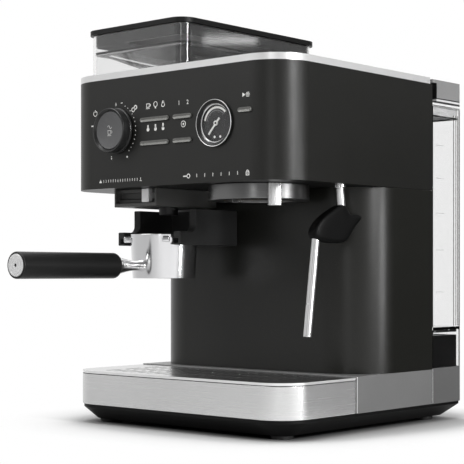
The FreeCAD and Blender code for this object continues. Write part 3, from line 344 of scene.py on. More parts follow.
def brushed(name, colour, roughness, stretch, lines=0.22, bump=0.12, metallic=1.0, streak=0.16):
    material, tree, shader, place = newMaterial(name)
    streaks = useGroup(tree, brushGroup, Position=place, Stretch=stretch)["Lines"]
    tone = useGroup(tree, driftGroup, Position=place, Colour=(*colour, 1), Scale=9.0, Amount=0.04)
    gain = mathNode(tree, "ADD", mathNode(tree, "MULTIPLY", streaks, lines), 1 - lines / 2)
    scaled = tree.nodes.new("ShaderNodeVectorMath")
    scaled.operation = "SCALE"
    tree.links.new(tone["Colour"], scaled.inputs[0])
    tree.links.new(gain, scaled.inputs["Scale"])
    tree.links.new(scaled.outputs[0], shader.inputs["Base Color"])
    rough = mathNode(tree, "ADD", mathNode(tree, "MULTIPLY", streaks, streak), roughness - streak / 2)
    tree.links.new(rough, shader.inputs["Roughness"])
    setBump(tree, shader, streaks, bump, 0.03)
    shader.inputs["Metallic"].default_value = metallic
    return material


def paintRimHighlight(material, level, slots):  # painted highlight on the outer edges of a plate that lies flat, with painted shade just above its seat
    tree = material.node_tree
    shader = tree.nodes["Principled BSDF"]
    facing = tree.nodes.new("ShaderNodeSeparateXYZ")
    tree.links.new(tree.nodes.new("ShaderNodeNewGeometry").outputs["Normal"], facing.inputs[0])
    spot = tree.nodes.new("ShaderNodeSeparateXYZ")
    tree.links.new(tree.nodes.new("ShaderNodeTexCoord").outputs["Object"], spot.inputs[0])
    across = mathNode(tree, "ABSOLUTE", spot.outputs["X"], 0.0)
    beside = mathNode(tree, "GREATER_THAN", across, slots["halfWidth"] * mm)
    depth = mathNode(tree, "ABSOLUTE", mathNode(tree, "SUBTRACT", spot.outputs["Y"], slots["middleY"]), 0.0)
    beyond = mathNode(tree, "GREATER_THAN", depth, slots["halfDepth"] * mm)
    upright = mapRange(tree, mathNode(tree, "ABSOLUTE", facing.outputs["Z"], 0.0), 0.80, 0.97, 1.0, 0.0)
    aboveSeat = mathNode(tree, "GREATER_THAN", spot.outputs["Z"], slots["lowZ"])
    edge = mathNode(tree, "MULTIPLY", upright, aboveSeat)
    rim = tree.nodes.new("ShaderNodeMix")
    rim.data_type = "RGBA"
    mask = mathNode(tree, "MULTIPLY", edge, mathNode(tree, "MAXIMUM", beside, beyond))
    tree.links.new(mask, rim.inputs["Factor"])
    tree.links.new(shader.inputs["Base Color"].links[0].from_socket, rim.inputs["A"])
    # edges just above the seat are painted near black as shade for the gap, and brighter higher up as a
    # painted highlight
    gapShadeTopZ = slots["gapShadeTopZ"]
    rimHighlightAndShade = mapRange(tree, spot.outputs["Z"], gapShadeTopZ, gapShadeTopZ + 0.2 * mm, 0.02, level)
    tree.links.new(rimHighlightAndShade, rim.inputs["B"])
    tree.links.new(rim.outputs["Result"], shader.inputs["Base Color"])
    tree.links.new(mapRange(tree, mask, 0.0, 1.0, 1.0, slots["metallic"]), shader.inputs["Metallic"])


def paintSeamShade(material, height):  # painted shade: a dark line where another plate rests on this piece, standing in for the shadow in the gap
    tree = material.node_tree
    shader = tree.nodes["Principled BSDF"]
    spot = tree.nodes.new("ShaderNodeSeparateXYZ")
    tree.links.new(tree.nodes.new("ShaderNodeTexCoord").outputs["Object"], spot.inputs[0])
    facing = tree.nodes.new("ShaderNodeSeparateXYZ")
    tree.links.new(tree.nodes.new("ShaderNodeNewGeometry").outputs["Normal"], facing.inputs[0])
    shaded = tree.nodes.new("ShaderNodeVectorMath")
    shaded.operation = "SCALE"
    tree.links.new(shader.inputs["Base Color"].links[0].from_socket, shaded.inputs[0])
    high = mapRange(tree, spot.outputs["Z"], height - 0.5 * mm, height - 0.3 * mm, 0.0, 1.0)
    sloped = mapRange(tree, facing.outputs["Z"], 0.90, 0.98, 1.0, 0.0)  # the flat top stays bright
    shade = mapRange(tree, mathNode(tree, "MULTIPLY", high, sloped), 0.0, 1.0, 1.0, 0.04)
    tree.links.new(shade, shaded.inputs["Scale"])
    tree.links.new(shaded.outputs[0], shader.inputs["Base Color"])


def polished(name, colour, roughness, smudge=0.03, metallic=1.0):
    material, tree, shader, place = newMaterial(name)
    setColour(tree, shader, place, colour, 0.03, 30.0)
    setGloss(tree, shader, place, roughness, smudge, 60.0)
    shader.inputs["Metallic"].default_value = metallic
    return material


def moulded(name, colour, roughness, grain=900.0, bump=0.08, shine=0.5):
    material, tree, shader, place = newMaterial(name)
    setColour(tree, shader, place, colour, 0.06, 25.0)
    setGloss(tree, shader, place, roughness, 0.04)
    shader.inputs["Specular IOR Level"].default_value = shine
    setBump(tree, shader, useGroup(tree, grainGroup, Position=place, Scale=grain)["Height"], bump, 0.05)
    return material


def clearMoulded(name, tint, roughness, refraction=1.49):
    material, tree, shader, place = newMaterial(name)
    setColour(tree, shader, place, tint, 0.02, 18.0)
    setGloss(tree, shader, place, roughness, 0.004, 22.0)
    shader.inputs["Transmission Weight"].default_value = 1.0
    shader.inputs["IOR"].default_value = refraction
    return material


blackShell = sprayed("blackShell", (0.0062, 0.0062, 0.0052), 0.38, 750.0, 0.8, 0.22, 0.0, 0.42)
# a lighter copy of the shell's black for the column, making up for the head's shade on it: painted light
columnBlackLit = sprayed("columnBlackLit", (0.0080, 0.0080, 0.0067), 0.31, 750.0, 0.8, 0.22, 0.0, 0.40)
blackPlastic = moulded("blackPlastic", (0.007, 0.007, 0.007), 0.40, 900.0, 0.08, 0.30)
# lighter copies of blackPlastic for the cradle and the grind block, making up for the head's shade over
# them: painted light
cradleBlackLit = moulded("cradleBlackLit", (0.030, 0.030, 0.030), 0.42, 900.0, 0.08, 0.10)
outletBlackLit = moulded("outletBlackLit", (0.060, 0.060, 0.058), 0.42, 900.0, 0.08, 0.40)
panBlack = moulded("panBlack", (0.003, 0.003, 0.003), 0.42, 900.0, 0.08, 0.15)
knobRim = moulded("knobRim", (0.012, 0.012, 0.012), 0.28, 900.0, 0.05)
lidBlack = moulded("lidBlack", (0.005, 0.005, 0.005), 0.42, 700.0, 0.05, 0.22)
rubberBlack = moulded("rubberBlack", (0.012, 0.012, 0.012), 0.65, 1400.0, 0.25)
silicone = moulded("silicone", (0.003, 0.003, 0.003), 0.40, 1100.0, 0.10, 0.09)
trayFront = brushed("trayFront", (0.74, 0.74, 0.74), 0.27, (7.0, 7.0, 1700.0), 0.05, 0.012, 0.75, 0.03)
trayTop = brushed("trayTop", (0.60, 0.60, 0.60), 0.24, (7.0, 1700.0, 7.0))
gridSteel = brushed("gridSteel", (0.60, 0.60, 0.60), 0.24, (7.0, 1700.0, 7.0))
gridLow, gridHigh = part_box("drip_grid")
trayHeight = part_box("drip_tray")[1].z
# the grid's outer edges get a painted highlight, with painted shade at their foot on the tray
gridHighlightRim = {"halfWidth": 112.0, "halfDepth": 41.0, "middleY": (gridLow.y + gridHigh.y) / 2,
           "lowZ": trayHeight - 0.05 * mm, "gapShadeTopZ": trayHeight + 0.4 * mm, "metallic": 0.55}
paintRimHighlight(gridSteel, 0.86, gridHighlightRim)
# painted shade along the tray's top edge, where the grid rests on it
paintSeamShade(trayFront, trayHeight)
greyBase = sprayed("greyBase", (0.20, 0.20, 0.20), 0.36, 1800.0, 0.12, 0.05, 0.3)
dockGrey = sprayed("dockGrey", (0.14, 0.14, 0.14), 0.36, 1800.0, 0.12, 0.05, 0.3)
silverTrim = polished("silverTrim", (0.74, 0.74, 0.74), 0.32, 0.03, 0.55)
ringChrome = polished("ringChrome", (0.82, 0.82, 0.83), 0.15, 0.02)
satinSteel = polished("satinSteel", (0.76, 0.76, 0.76), 0.22, 0.02)
wandSteel = polished("wandSteel", (0.78, 0.78, 0.78), 0.34, 0.02)
tabSteel = brushed("tabSteel", (0.67, 0.67, 0.67), 0.28, (900.0, 900.0, 7.0), 0.10, 0.05)
plainSteel = polished("plainSteel", (0.60, 0.60, 0.60), 0.26, 0.06)
castMetal = sprayed("castMetal", (0.42, 0.42, 0.43), 0.5, 900.0, 0.4, 0.1, 0.9)
brassTurned = polished("brassTurned", (0.62, 0.46, 0.22), 0.24, 0.05)
hoseSilicone = moulded("hoseSilicone", (0.62, 0.62, 0.60), 0.4)
boardGreen = moulded("boardGreen", (0.03, 0.12, 0.05), 0.4)
darkCollar = brushed("darkCollar", (0.21, 0.21, 0.21), 0.30, (7.0, 7.0, 900.0), 0.06, 0.04)
knobGrey = moulded("knobGrey", (0.085, 0.085, 0.087), 0.45, 1500.0, 0.12, 0.35)
buttonSilver = sprayed("buttonSilver", (0.15, 0.15, 0.142), 0.36, 2600.0, 0.12, 0.2, 0.4)
dialBlack = moulded("dialBlack", (0.010, 0.010, 0.011), 0.5)
printWhite = moulded("printWhite", (0.72, 0.72, 0.70), 0.5, 2000.0, 0.05)
printFaint = moulded("printFaint", (0.14, 0.14, 0.14), 0.5, 2000.0, 0.05)
printGrey = moulded("printGrey", (0.42, 0.42, 0.42), 0.5, 2000.0, 0.05)
printDim = moulded("printDim", (0.46, 0.46, 0.45), 0.5, 2000.0, 0.05)
lensGlass = clearMoulded("lensGlass", (0.98, 0.98, 0.98), 0.005, 1.15)
hopperClear = clearMoulded("hopperClear", (0.93, 0.93, 0.93), 0.04)
hopperSmoke = clearMoulded("hopperSmoke", (0.07, 0.07, 0.07), 0.012)
ribSmoke = clearMoulded("ribSmoke", (0.06, 0.06, 0.06), 0.02, 1.2)
tankClear = clearMoulded("tankClear", (0.99, 0.99, 0.99), 0.004, 1.42)
print("materials made")


# camera, floor and light

cameraSetup = {"place": (0.9429, panelY - 0.9663, 0.158), "turn": 41.5, "lens": 105.86, "shiftUp": 0.0875}
studio = {
    "key": {"place": (-1.15, -1.9, 2.0), "size": (1.7, 1.4), "power": 38.0},
    "sideStrip": {"place": (1.75, -0.12, 0.88), "size": (0.22, 1.0), "power": 22.0},
    "lowStrip": {"place": (1.66, 0.42, 0.22), "size": (0.20, 0.28), "power": 4.4},
    "cameraStrip": {"place": (0.98, -1.78, 0.7), "size": (0.2, 1.1), "power": 2.2},
    "top": {"place": (-0.1, 0.1, 2.1), "size": (1.5, 1.5), "power": 18.0},
    "backPanel": {"place": (1.45, 1.62, 0.84), "size": (2.2, 0.30), "power": 0.8},
    "hopperWindow": {"place": (1.067, 1.202, 0.67), "size": (0.12, 0.015), "power": 0.022},
}
lookAt = Vector((0, 0, 0.2))


def makeCamera():
    dropSelection()
    turn = (math.radians(90), 0, math.radians(cameraSetup["turn"]))
    bpy.ops.object.camera_add(location=cameraSetup["place"], rotation=turn)
    camera = bpy.context.object
    camera.name = "photoCamera"
    camera.data.sensor_width = 36
    camera.data.lens = cameraSetup["lens"]
    camera.data.shift_y = cameraSetup["shiftUp"]
    camera.data.clip_end = 30
    bpy.context.scene.camera = camera


def makeLamps():
    for name, lamp in studio.items():
        dropSelection()
        bpy.ops.object.light_add(type="AREA", location=lamp["place"])
        light = bpy.context.object
        light.name = name
        light.data.shape = "RECTANGLE"
        light.data.size, light.data.size_y = lamp["size"]
        light.data.energy = lamp["power"]
        light.rotation_mode = "QUATERNION"
        light.rotation_quaternion = (lookAt - Vector(lamp["place"])).to_track_quat("-Z", "Y")


def towards(tree, direction, x, y):  # 1 where the direction runs to (x, y), -1 where it runs away
    tilt = tree.nodes.new("ShaderNodeVectorMath")
    tilt.operation = "DOT_PRODUCT"
    tilt.inputs[1].default_value = (x, y, 0.0)
    tree.links.new(direction, tilt.inputs[0])
    return tilt.outputs["Value"]


def studioTone(tree, direction, besideCamera):  # white to the camera, dark sides in reflections
    path = tree.nodes.new("ShaderNodeLightPath").outputs
    backward = towards(tree, direction, 0.66, 0.75)
    mirrored = mathNode(tree, "MULTIPLY", mapRange(tree, backward, 0.62, 0.93, 1.0, 0.04),
                        mapRange(tree, backward, -0.95, -0.1, 0.58, 1.0))
    nearCamera = mapRange(tree, towards(tree, direction, 0.66, -0.75), 0.2, 0.85, 1.0, besideCamera)
    mirrored = mathNode(tree, "MULTIPLY", mirrored, nearCamera)
    mirrored = mathNode(tree, "MULTIPLY", mirrored, path["Is Glossy Ray"])
    through = mapRange(tree, backward, 0.35, 0.8, 1.0, 0.05)
    through = mathNode(tree, "MULTIPLY", through, path["Is Transmission Ray"])
    tone = mathNode(tree, "MAXIMUM", path["Is Camera Ray"], mathNode(tree, "MAXIMUM", mirrored, through))
    seen = mathNode(tree, "MAXIMUM", path["Is Glossy Ray"], path["Is Transmission Ray"])
    return tone, mathNode(tree, "MAXIMUM", path["Is Camera Ray"], seen)


def makeWorld():
    world = bpy.data.worlds.new("studioWhite")
    bpy.context.scene.world = world
    world.use_nodes = True
    tree = world.node_tree
    background = tree.nodes["Background"]
    tone, seen = studioTone(tree, tree.nodes.new("ShaderNodeTexCoord").outputs["Generated"], 0.2)
    lit = mathNode(tree, "MULTIPLY", mathNode(tree, "SUBTRACT", 1.0, seen), 0.3)
    tree.links.new(mathNode(tree, "ADD", tone, lit), background.inputs["Strength"])
    background.inputs["Color"].default_value = (1, 1, 1, 1)


def makeFloor():
    dropSelection()
    bpy.ops.mesh.primitive_plane_add(size=24, location=(0, 0, 0))
    floor = bpy.context.object
    floor.name = "studioFloor"
    material, tree, shader, place = newMaterial("studioFloor")
    shader.inputs["Roughness"].default_value = 0.8
    shader.inputs["Specular IOR Level"].default_value = 0.1
    clear = tree.nodes.new("ShaderNodeAmbientOcclusion")  # how open the floor is: low beside the machine, where it darkens the floor's colour as a painted contact shadow
    clear.samples = 32
    clear.inputs["Distance"].default_value = 0.11
    # painted shade: the floor's colour is scaled down by the AO beside the machine
    aoShadedColour = tree.nodes.new("ShaderNodeVectorMath")
    aoShadedColour.operation = "SCALE"
    aoShadedColour.inputs[0].default_value = (0.88, 0.88, 0.88)
    tree.links.new(clear.outputs["AO"], aoShadedColour.inputs["Scale"])
    tree.links.new(aoShadedColour.outputs[0], shader.inputs["Base Color"])
    away = tree.nodes.new("ShaderNodeVectorMath")
    away.operation = "NORMALIZE"
    tree.links.new(place, away.inputs[0])
    tone, seen = studioTone(tree, away.outputs[0], 1.0)
    white = tree.nodes.new("ShaderNodeEmission")
    tree.links.new(tone, white.inputs["Strength"])
    far = mapRange(tree, clear.outputs["AO"], 0.72, 0.985, 0.0, 1.0)
    blend = tree.nodes.new("ShaderNodeMixShader")
    tree.links.new(mathNode(tree, "MULTIPLY", far, seen), blend.inputs[0])
    tree.links.new(shader.outputs[0], blend.inputs[1])
    tree.links.new(white.outputs[0], blend.inputs[2])
    tree.links.new(blend.outputs[0], tree.nodes["Material Output"].inputs["Surface"])
    floor.data.materials.append(material)


bpy.context.scene.view_settings.view_transform = "Standard"
makeCamera()
makeLamps()
makeWorld()
makeFloor()
print("camera, floor and light made")


# CAD solids that only need softer edges: node, edge radius in mm, body, slot, material

softened = {
    "headShell": ("head_shell", 0.7, "machine", "black_shell", blackShell),
    "columnShell": ("column_shell", 0.7, "machine", "black_shell", columnBlackLit),
    "topTrim": ("top_trim", 1.2, "machine", "silver_trim", silverTrim),
    "topPlate": ("top_plate", 0.4, "machine", "brushed_steel", trayTop),
    "rearBaseCover": ("rear_base_cover", 0.6, "machine", "grey_base", greyBase),
    "tankDock": ("tank_dock", 0.6, "machine", "grey_base", dockGrey),
    "basePan": ("base_pan", 0.8, "machine", "black_plastic", panBlack),
    "grindBlock": ("grind_block", 0.8, "machine", "black_plastic", outletBlackLit),
    "portafilterCradle": ("portafilter_cradle", 1.4, "machine", "black_plastic", cradleBlackLit),
    "headFloor": ("head_floor", 0.5, "machine", "black_plastic", blackPlastic),
    "rearCover": ("rear_cover", 0.4, "machine", "black_plastic", blackPlastic),
    "cordGland": ("cord_gland", 0.5, "machine", "black_plastic", blackPlastic),
    "rubberFeet": ("feet", 0.8, "machine", "rubber", rubberBlack),
    "wandSocket": ("wand_socket", 0.5, "machine", "chrome", satinSteel),
    "dripTray": ("drip_tray", 0.7, "tray", "brushed_steel", trayFront),
    "dripGrid": ("drip_grid", 0.8, "grid", "brushed_steel", gridSteel),
    "lockCollar": ("lock_collar", 0.7, "collar", "collar_dark", darkCollar),
    "collarTab": ("collar_tab", 0.9, "collar", "silver_trim", tabSteel),
    "grindSlider": ("grind_slider", 0.8, "size_slider", "silver_trim", silverTrim),
    "portafilterBody": ("portafilter_body", 0.6, "portafilter", "chrome", ringChrome),
    "filterBasket": ("filter_basket", 0.3, "portafilter", "steel", plainSteel),
    "portafilterGrip": ("portafilter_grip", 0.4, "portafilter", "black_plastic", blackPlastic),
    "wandTip": ("wand_tip", 0.3, "wand", "chrome", wandSteel),
    "hopperBody": ("hopper_body", 0.5, "hopper", "smoke_clear", hopperClear),
}
for pieceName, (nodeName, width, body, slotName, material) in softened.items():
    piece = copyNode(nodeName, pieceName)
    roundEdges(piece, width)
    settle(piece, body, slotName, material, nodeName)
print("softened pieces:", len(softened))

# push buttons: the front is scooped out like a shallow trough

button = {"slope": 1.9, "depth": 1.0, "edge": 0.35}


def scoopFront(piece):
    front = min(vertex.co.y for vertex in piece.data.vertices)
    pick(piece)
    bpy.ops.object.mode_set(mode="EDIT")
    bpy.ops.mesh.select_all(action="DESELECT")
    bpy.ops.mesh.select_mode(type="FACE")
    bpy.ops.object.mode_set(mode="OBJECT")
    for face in piece.data.polygons:
        face.select = face.normal.y < -0.99 and abs(face.center.y - front) < 0.00002
    bpy.ops.object.mode_set(mode="EDIT")
    bpy.ops.mesh.inset(thickness=button["slope"] * mm, depth=-button["depth"] * mm)
    bpy.ops.mesh.select_mode(type="VERT")
    dropSelection()


for label in ("drink", "temperature", "cup", "program", "start"):
    piece = copyNode(label + "_button", label + "Button")
    scoopFront(piece)
    roundEdges(piece, button["edge"], 2, 20)
    settle(piece, label + "_button_body", "button_silver", buttonSilver, label + "_button")
print("buttons made")

keptNodes = {
    "case_screws": plainSteel, "control_board": boardGreen, "gauge_case": dialBlack,
    "gauge_lens": lensGlass, "gauge_needle": printWhite, "burr_gear": plainSteel,
    "burr_cone": plainSteel, "motor_pinion": brassTurned, "burr_housing": castMetal,
    "outer_burr": plainSteel, "grinder_motor": plainSteel, "group_head": brassTurned,
    "group_gasket": rubberBlack, "shower_screen": plainSteel, "boiler": castMetal,
    "water_pump": blackPlastic, "solenoid_valve": blackPlastic, "hoses": hoseSilicone,
    "wand_tube": wandSteel, "tank_valve": blackPlastic, "portafilter_neck": satinSteel,
}
for nodeName, material in keptNodes.items():
    nodes[nodeName].data.materials.clear()
    nodes[nodeName].data.materials.append(material)
print("kept nodes:", len(keptNodes))

# painted highlights: bright upright strips standing in for the edge highlights where the rear base meets
# the tray, and the dock meets the rear base

seam = {"width": 1.1, "thick": 0.8, "proud": 0.12, "endGap": 0.5, "edge": 0.25}


def edgeHighlightStrip(nodeName, side):
    low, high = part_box(nodeName)
    dropSelection()
    bpy.ops.mesh.primitive_cube_add(size=1, location=(0, 0, (low.z + high.z) / 2))
    strip = bpy.context.object
    strip.location.x = side * (high.x + (seam["proud"] - seam["thick"] / 2) * mm)
    strip.location.y = low.y + seam["width"] / 2 * mm
    strip.scale = (seam["thick"] * mm, seam["width"] * mm, high.z - low.z - 2 * seam["endGap"] * mm)
    fixPlace(strip)
    roundEdges(strip, seam["edge"], 2)
    return strip


edgeHighlightStrips = [edgeHighlightStrip(nodeName, side) for nodeName in ("rear_base_cover", "tank_dock") for side in (-1, 1)]
paintedEdgeHighlights = joinPieces("paintedEdgeHighlights", edgeHighlightStrips)
settle(paintedEdgeHighlights, "machine", "silver_trim", silverTrim)
print("seam edges made")


# control knob and its face

def middle(nodeName):
    low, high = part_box(nodeName)
    return (low + high) / 2


knobCentre = Vector((middle("knob_face").x, panelY, middle("knob_face").z))
knob = {
    "skirt": [(-0.5, 0), (-0.5, 23.1), (-0.9, 23.5), (-2.8, 23.5), (-3.3, 23.2), (-3.5, 22.8),
              (-11.8, 22.5), (-12.4, 22.3), (-12.6, 21.9), (-12.5, 21.4), (-12.1, 21.0), (-10.3, 19.3),
              (-9.9, 19.2), (-9.9, 0)],
    "face": [(-9.95, 0), (-9.95, 19.1), (-10.3, 19.1), (-10.55, 18.9), (-10.55, 18.4), (-10.4, 18.1),
             (-10.4, 0)],
    "faceDepth": 10.4,
}
knobSkirt = turned("knobSkirt", knob["skirt"], knobCentre)
settle(knobSkirt, "knob", "black_plastic", knobRim, "control_knob")
knobFace = turned("knobFace", knob["face"], knobCentre)
settle(knobFace, "knob", "knob_grey", knobGrey, "knob_face")
print("knob made")


# printed signs: flat shapes on the plane of the panel, joined and given a little thickness

inkDepth = 0.10


def bar(x, z, width, height, tilt=0.0):
    bpy.ops.mesh.primitive_plane_add(size=mm, location=(x * mm, 0, z * mm), scale=(1, 1, 1),
                                     rotation=(math.radians(90), math.radians(tilt), 0))
    mark = bpy.context.object
    mark.scale = (width, height, 1)
    fixPlace(mark)
    return mark


def dot(x, z, radius, corners=18, tilt=0.0):
    bpy.ops.mesh.primitive_circle_add(vertices=corners, radius=radius * mm, fill_type="NGON",
                                      location=(x * mm, 0, z * mm),
                                      rotation=(math.radians(90), math.radians(tilt), 0))
    mark = bpy.context.object
    fixPlace(mark)
    return mark


def arc(x, z, radius, width, start=0.0, end=360.0, steps=28):
    centre = Vector((x * mm, 0, z * mm))
    way = Vector((math.cos(math.radians(start)), 0, math.sin(math.radians(start))))
    mark = startPath("arcMark")
    drawPath([centre + way * ((radius - width / 2) * mm), centre + way * ((radius + width / 2) * mm)])
    bpy.ops.mesh.select_all(action="SELECT")
    bpy.ops.mesh.spin(steps=steps, angle=math.radians(end - start), center=centre, axis=(0, 1, 0))
    bpy.ops.mesh.select_all(action="SELECT")
    bpy.ops.mesh.remove_doubles(threshold=0.000002)
    dropSelection()
    return mark


def numeral(text, x, z, height):
    dropSelection()
    bpy.ops.object.text_add(location=(x * mm, 0, z * mm), rotation=(math.radians(90), 0, 0))
    mark = bpy.context.object
    mark.data.body = text
    mark.data.size = height * mm * 1.4
    mark.data.align_x = "CENTER"
    mark.data.align_y = "CENTER"
    bpy.ops.object.convert(target="MESH")
    fixPlace(mark)
    return mark


def printSigns(name, marks, y):  # y is the surface that carries the ink
    piece = joinPieces(name, marks)
    piece.location.y = y - inkDepth * mm
    fixPlace(piece)
    editAll(piece)
    bpy.ops.mesh.extrude_region_move(TRANSFORM_OT_translate={"value": (0, inkDepth * mm * 1.5, 0)})
    bpy.ops.mesh.select_all(action="SELECT")
    bpy.ops.mesh.normals_make_consistent(inside=False)
    dropSelection()
    return piece


def cupSign(x, z, size):
    middleX = x - 0.15 * size
    return [bar(x - 1.4 * size, z, 0.7, 2.6 * size), bar(x + 1.1 * size, z, 0.7, 2.6 * size),
            bar(middleX, z - 1.1 * size, 2.5 * size, 0.8), bar(middleX, z + 1.2 * size, 3.2 * size, 0.7),
            bar(middleX, z - 2.0 * size, 3.4 * size, 0.6),
            arc(x + 1.5 * size, z + 0.3, 0.8 * size, 0.6, -85, 85)]


def dropSign(x, z):
    return [arc(x, z - 0.8, 2.0, 0.7), bar(x - 1.0, z + 1.7, 0.65, 3.4, 26),
            bar(x + 1.0, z + 1.7, 0.65, 3.4, -26)]


def heatSign(x, z, fill):
    return [bar(x, z + 1.0, 1.9, fill), dot(x, z - 2.0, 1.9)]


def knobScale(x, z):
    def at(angle, radius):
        turn = math.radians(angle)
        return x + radius * math.cos(turn), z + radius * math.sin(turn)
    powerX, powerZ = at(148, 38.0)
    marks = [arc(powerX, powerZ, 2.6, 0.7, 125, 415), bar(powerX, powerZ + 2.4, 0.7, 2.6)]
    marks.append(bar(*at(168.5, 37.5), 3.0, 1.3))
    marks += [bar(*at(93, 27.4), 0.8, 3.4), dot(*at(93, 26.9), 1.1, 8)]
    marks.append(bar(*at(76, 29.0), 2.6, 0.8))
    marks += [dot(*at(64 - 9.5 * i, 27.3), 0.55, 10) for i in range(13)]
    marks += [arc(*at(40, 31.0), 2.0, 1.0), arc(*at(39.3, 34.9), 1.8, 1.2)]
    marks.append(dot(*at(-61, 31.0), 1.1))
    lowX, lowZ = at(-106.6, 28.0)
    marks += [dot(lowX, lowZ + 1.1, 0.6, 10), dot(lowX, lowZ - 1.1, 0.8, 10)]
    return marks


def grindScale(left, right, z, ticks):
    step = (right - left) / (ticks + 1)
    marks = [bar(left + step * (i + 1), z, 0.55, 3.0) for i in range(ticks)]
    marks.append(dot(left - 1.2, z - 0.4, 2.3, 3, 0))
    marks += [bar(right + 1.4, z - 1.5, 3.0, 0.5), bar(right + 1.4, z + 0.3, 0.5, 3.2)]
    return marks


def lockScale(openX, first, last, ticks, lockedX, z):
    step = (last - first) / (ticks - 1)
    marks = [bar(first + step * i, z, 0.6, 3.4) for i in range(ticks)]
    marks += [arc(openX + 2.4, z, 1.9, 0.8), bar(openX - 2.0, z, 5.0, 1.2)]
    marks += [bar(lockedX + side * 1.7, z - 1.1, 0.8, 3.6) for side in (-1, 1)]
    marks += [bar(lockedX, z - 1.1 + side * 1.5, 3.0, 0.8) for side in (-1, 1)]
    marks += [dot(lockedX, z - 1.1, 0.5, 8), arc(lockedX, z + 0.6, 1.4, 0.7, 0, 180, 12)]
    return marks


panel = {"drinkX": (-24.1, -13.65, -3.2), "drinkZ": 325.0, "heatZ": 303.0, "heatFill": (3.0, 3.6, 4.4),
         "cupX": (18.7, 30.2), "cupZ": 324.0, "program": (24.6, 303.2), "start": (105.5, 325.0),
         "grind": (-92.0, -36.0, 252.0, 15), "lock": (29.0, 42.5, 95.1, 6, 107.4, 252.0)}
panelMarks = knobScale(knobCentre.x / mm, knobCentre.z / mm)
panelMarks += cupSign(panel["drinkX"][0], panel["drinkZ"], 1.5)
panelMarks += [arc(panel["drinkX"][1], panel["drinkZ"] + 0.6, 2.5, 0.7)]
panelMarks += [bar(panel["drinkX"][1], panel["drinkZ"] - 2.9, 1.6, 1.2)]
panelMarks += dropSign(panel["drinkX"][2], panel["drinkZ"])
for x, fill in zip(panel["drinkX"], panel["heatFill"]):
    panelMarks += heatSign(x, panel["heatZ"], fill)
panelMarks += [numeral(label, x, panel["cupZ"], 4.4) for label, x in zip("12", panel["cupX"])]
panelMarks += [arc(*panel["program"], 2.9, 0.7), dot(*panel["program"], 1.1, 12)]
panelMarks += [dot(panel["start"][0] - 3.2, panel["start"][1], 2.4, 3, 90)]
panelMarks += [bar(panel["start"][0] + 2.2, panel["start"][1] + offset, width, 0.6)
               for offset, width in ((-1.8, 3.4), (-0.6, 4.8), (0.6, 4.8), (1.8, 3.4))]
panelMarks += grindScale(*panel["grind"])
panelMarks += lockScale(*panel["lock"])
panelSigns = printSigns("panelSigns", panelMarks, panelY)
settle(panelSigns, "machine", "needle_white", printWhite)

faceY = panelY - knob["faceDepth"] * mm
faceX, faceZ = knobCentre.x / mm, knobCentre.z / mm
faceMarks = cupSign(faceX, faceZ - 2.2, 1.6)
faceMarks += [arc(faceX - 1.3, faceZ + 3.2, 1.4, 0.6, 0, 180, 10)]
faceMarks += [arc(faceX + 1.5, faceZ + 3.2, 1.4, 0.6, 180, 360, 10)]
knobSigns = printSigns("knobSigns", faceMarks, faceY)
settle(knobSigns, "knob", "needle_white", printDim)
print("signs made")


# pressure gauge: bezel with two bright ridges, the dial's print and the needle's hub

gaugeCentre = Vector((middle("gauge_bezel").x, panelY, middle("gauge_bezel").z))
gauge = {
    "bezel": [(0, 18.8), (0, 22.3), (-2.5, 22.3), (-2.6, 21.9), (-2.2, 21.3), (-1.5, 19.6), (-1.2, 18.9),
              (0, 18.8)],
    "outerRing": [(-2.2, 22.1), (-2.2, 22.6), (-2.7, 22.6), (-3.0, 22.4), (-2.9, 22.1), (-2.2, 22.1)],
    "innerRing": [(0.3, 18.6), (0.3, 18.1), (0.6, 17.8), (0.9, 18.1), (0.9, 18.6), (0.3, 18.6)],
    "pin": [(0.7, 0), (0.7, 1.2), (0.3, 1.1), (0.2, 0.8), (0.2, 0)],
    "hub": [(0.9, 1.0), (0.9, 2.5), (0.4, 2.4), (0.3, 1.9), (0.45, 1.3), (0.9, 1.0)],
    "dial": 2.0,
}
gaugeBezel = turned("gaugeBezel", gauge["bezel"], gaugeCentre)
settle(gaugeBezel, "machine", "dial_black", blackPlastic, "gauge_bezel")
for ringName in ("outerRing", "innerRing"):
    bezelRing = turned("gauge" + ringName[0].upper() + ringName[1:], gauge[ringName], gaugeCentre)
    settle(bezelRing, "machine", "chrome", silverTrim, "gauge_bezel")
dialX, dialZ = gaugeCentre.x / mm, gaugeCentre.z / mm
dialY = panelY + gauge["dial"] * mm
dialMarks = [arc(dialX, dialZ, 15.2, 2.0, 42, 168)]
dialMarks += [dot(dialX - 2.4, dialZ - 13.0, 1.3), dot(dialX + 5.0, dialZ - 13.0, 1.3)]
settle(printSigns("dialSigns", dialMarks, dialY), "machine", "needle_white", printWhite)
dimMarks = [arc(dialX, dialZ, 12.4, 0.8, 40, 168)]
for angle in range(-15, 196, 30):
    turn = math.radians(angle)
    dimMarks.append(bar(dialX + 11.0 * math.cos(turn), dialZ + 11.0 * math.sin(turn), 1.6, 0.3, -angle))
settle(printSigns("dialDimSigns", dimMarks, dialY), "machine", "needle_white", printFaint)
needleHub = turned("needleHub", gauge["hub"], gaugeCentre, (0, 1, 0), 32)
settle(needleHub, "needle", "needle_white", printWhite)
needlePin = turned("needlePin", gauge["pin"], gaugeCentre, (0, 1, 0), 24)
settle(needlePin, "needle", "dial_black", dialBlack)
print("gauge made")


# hopper funnel: clear cone under a dark rim

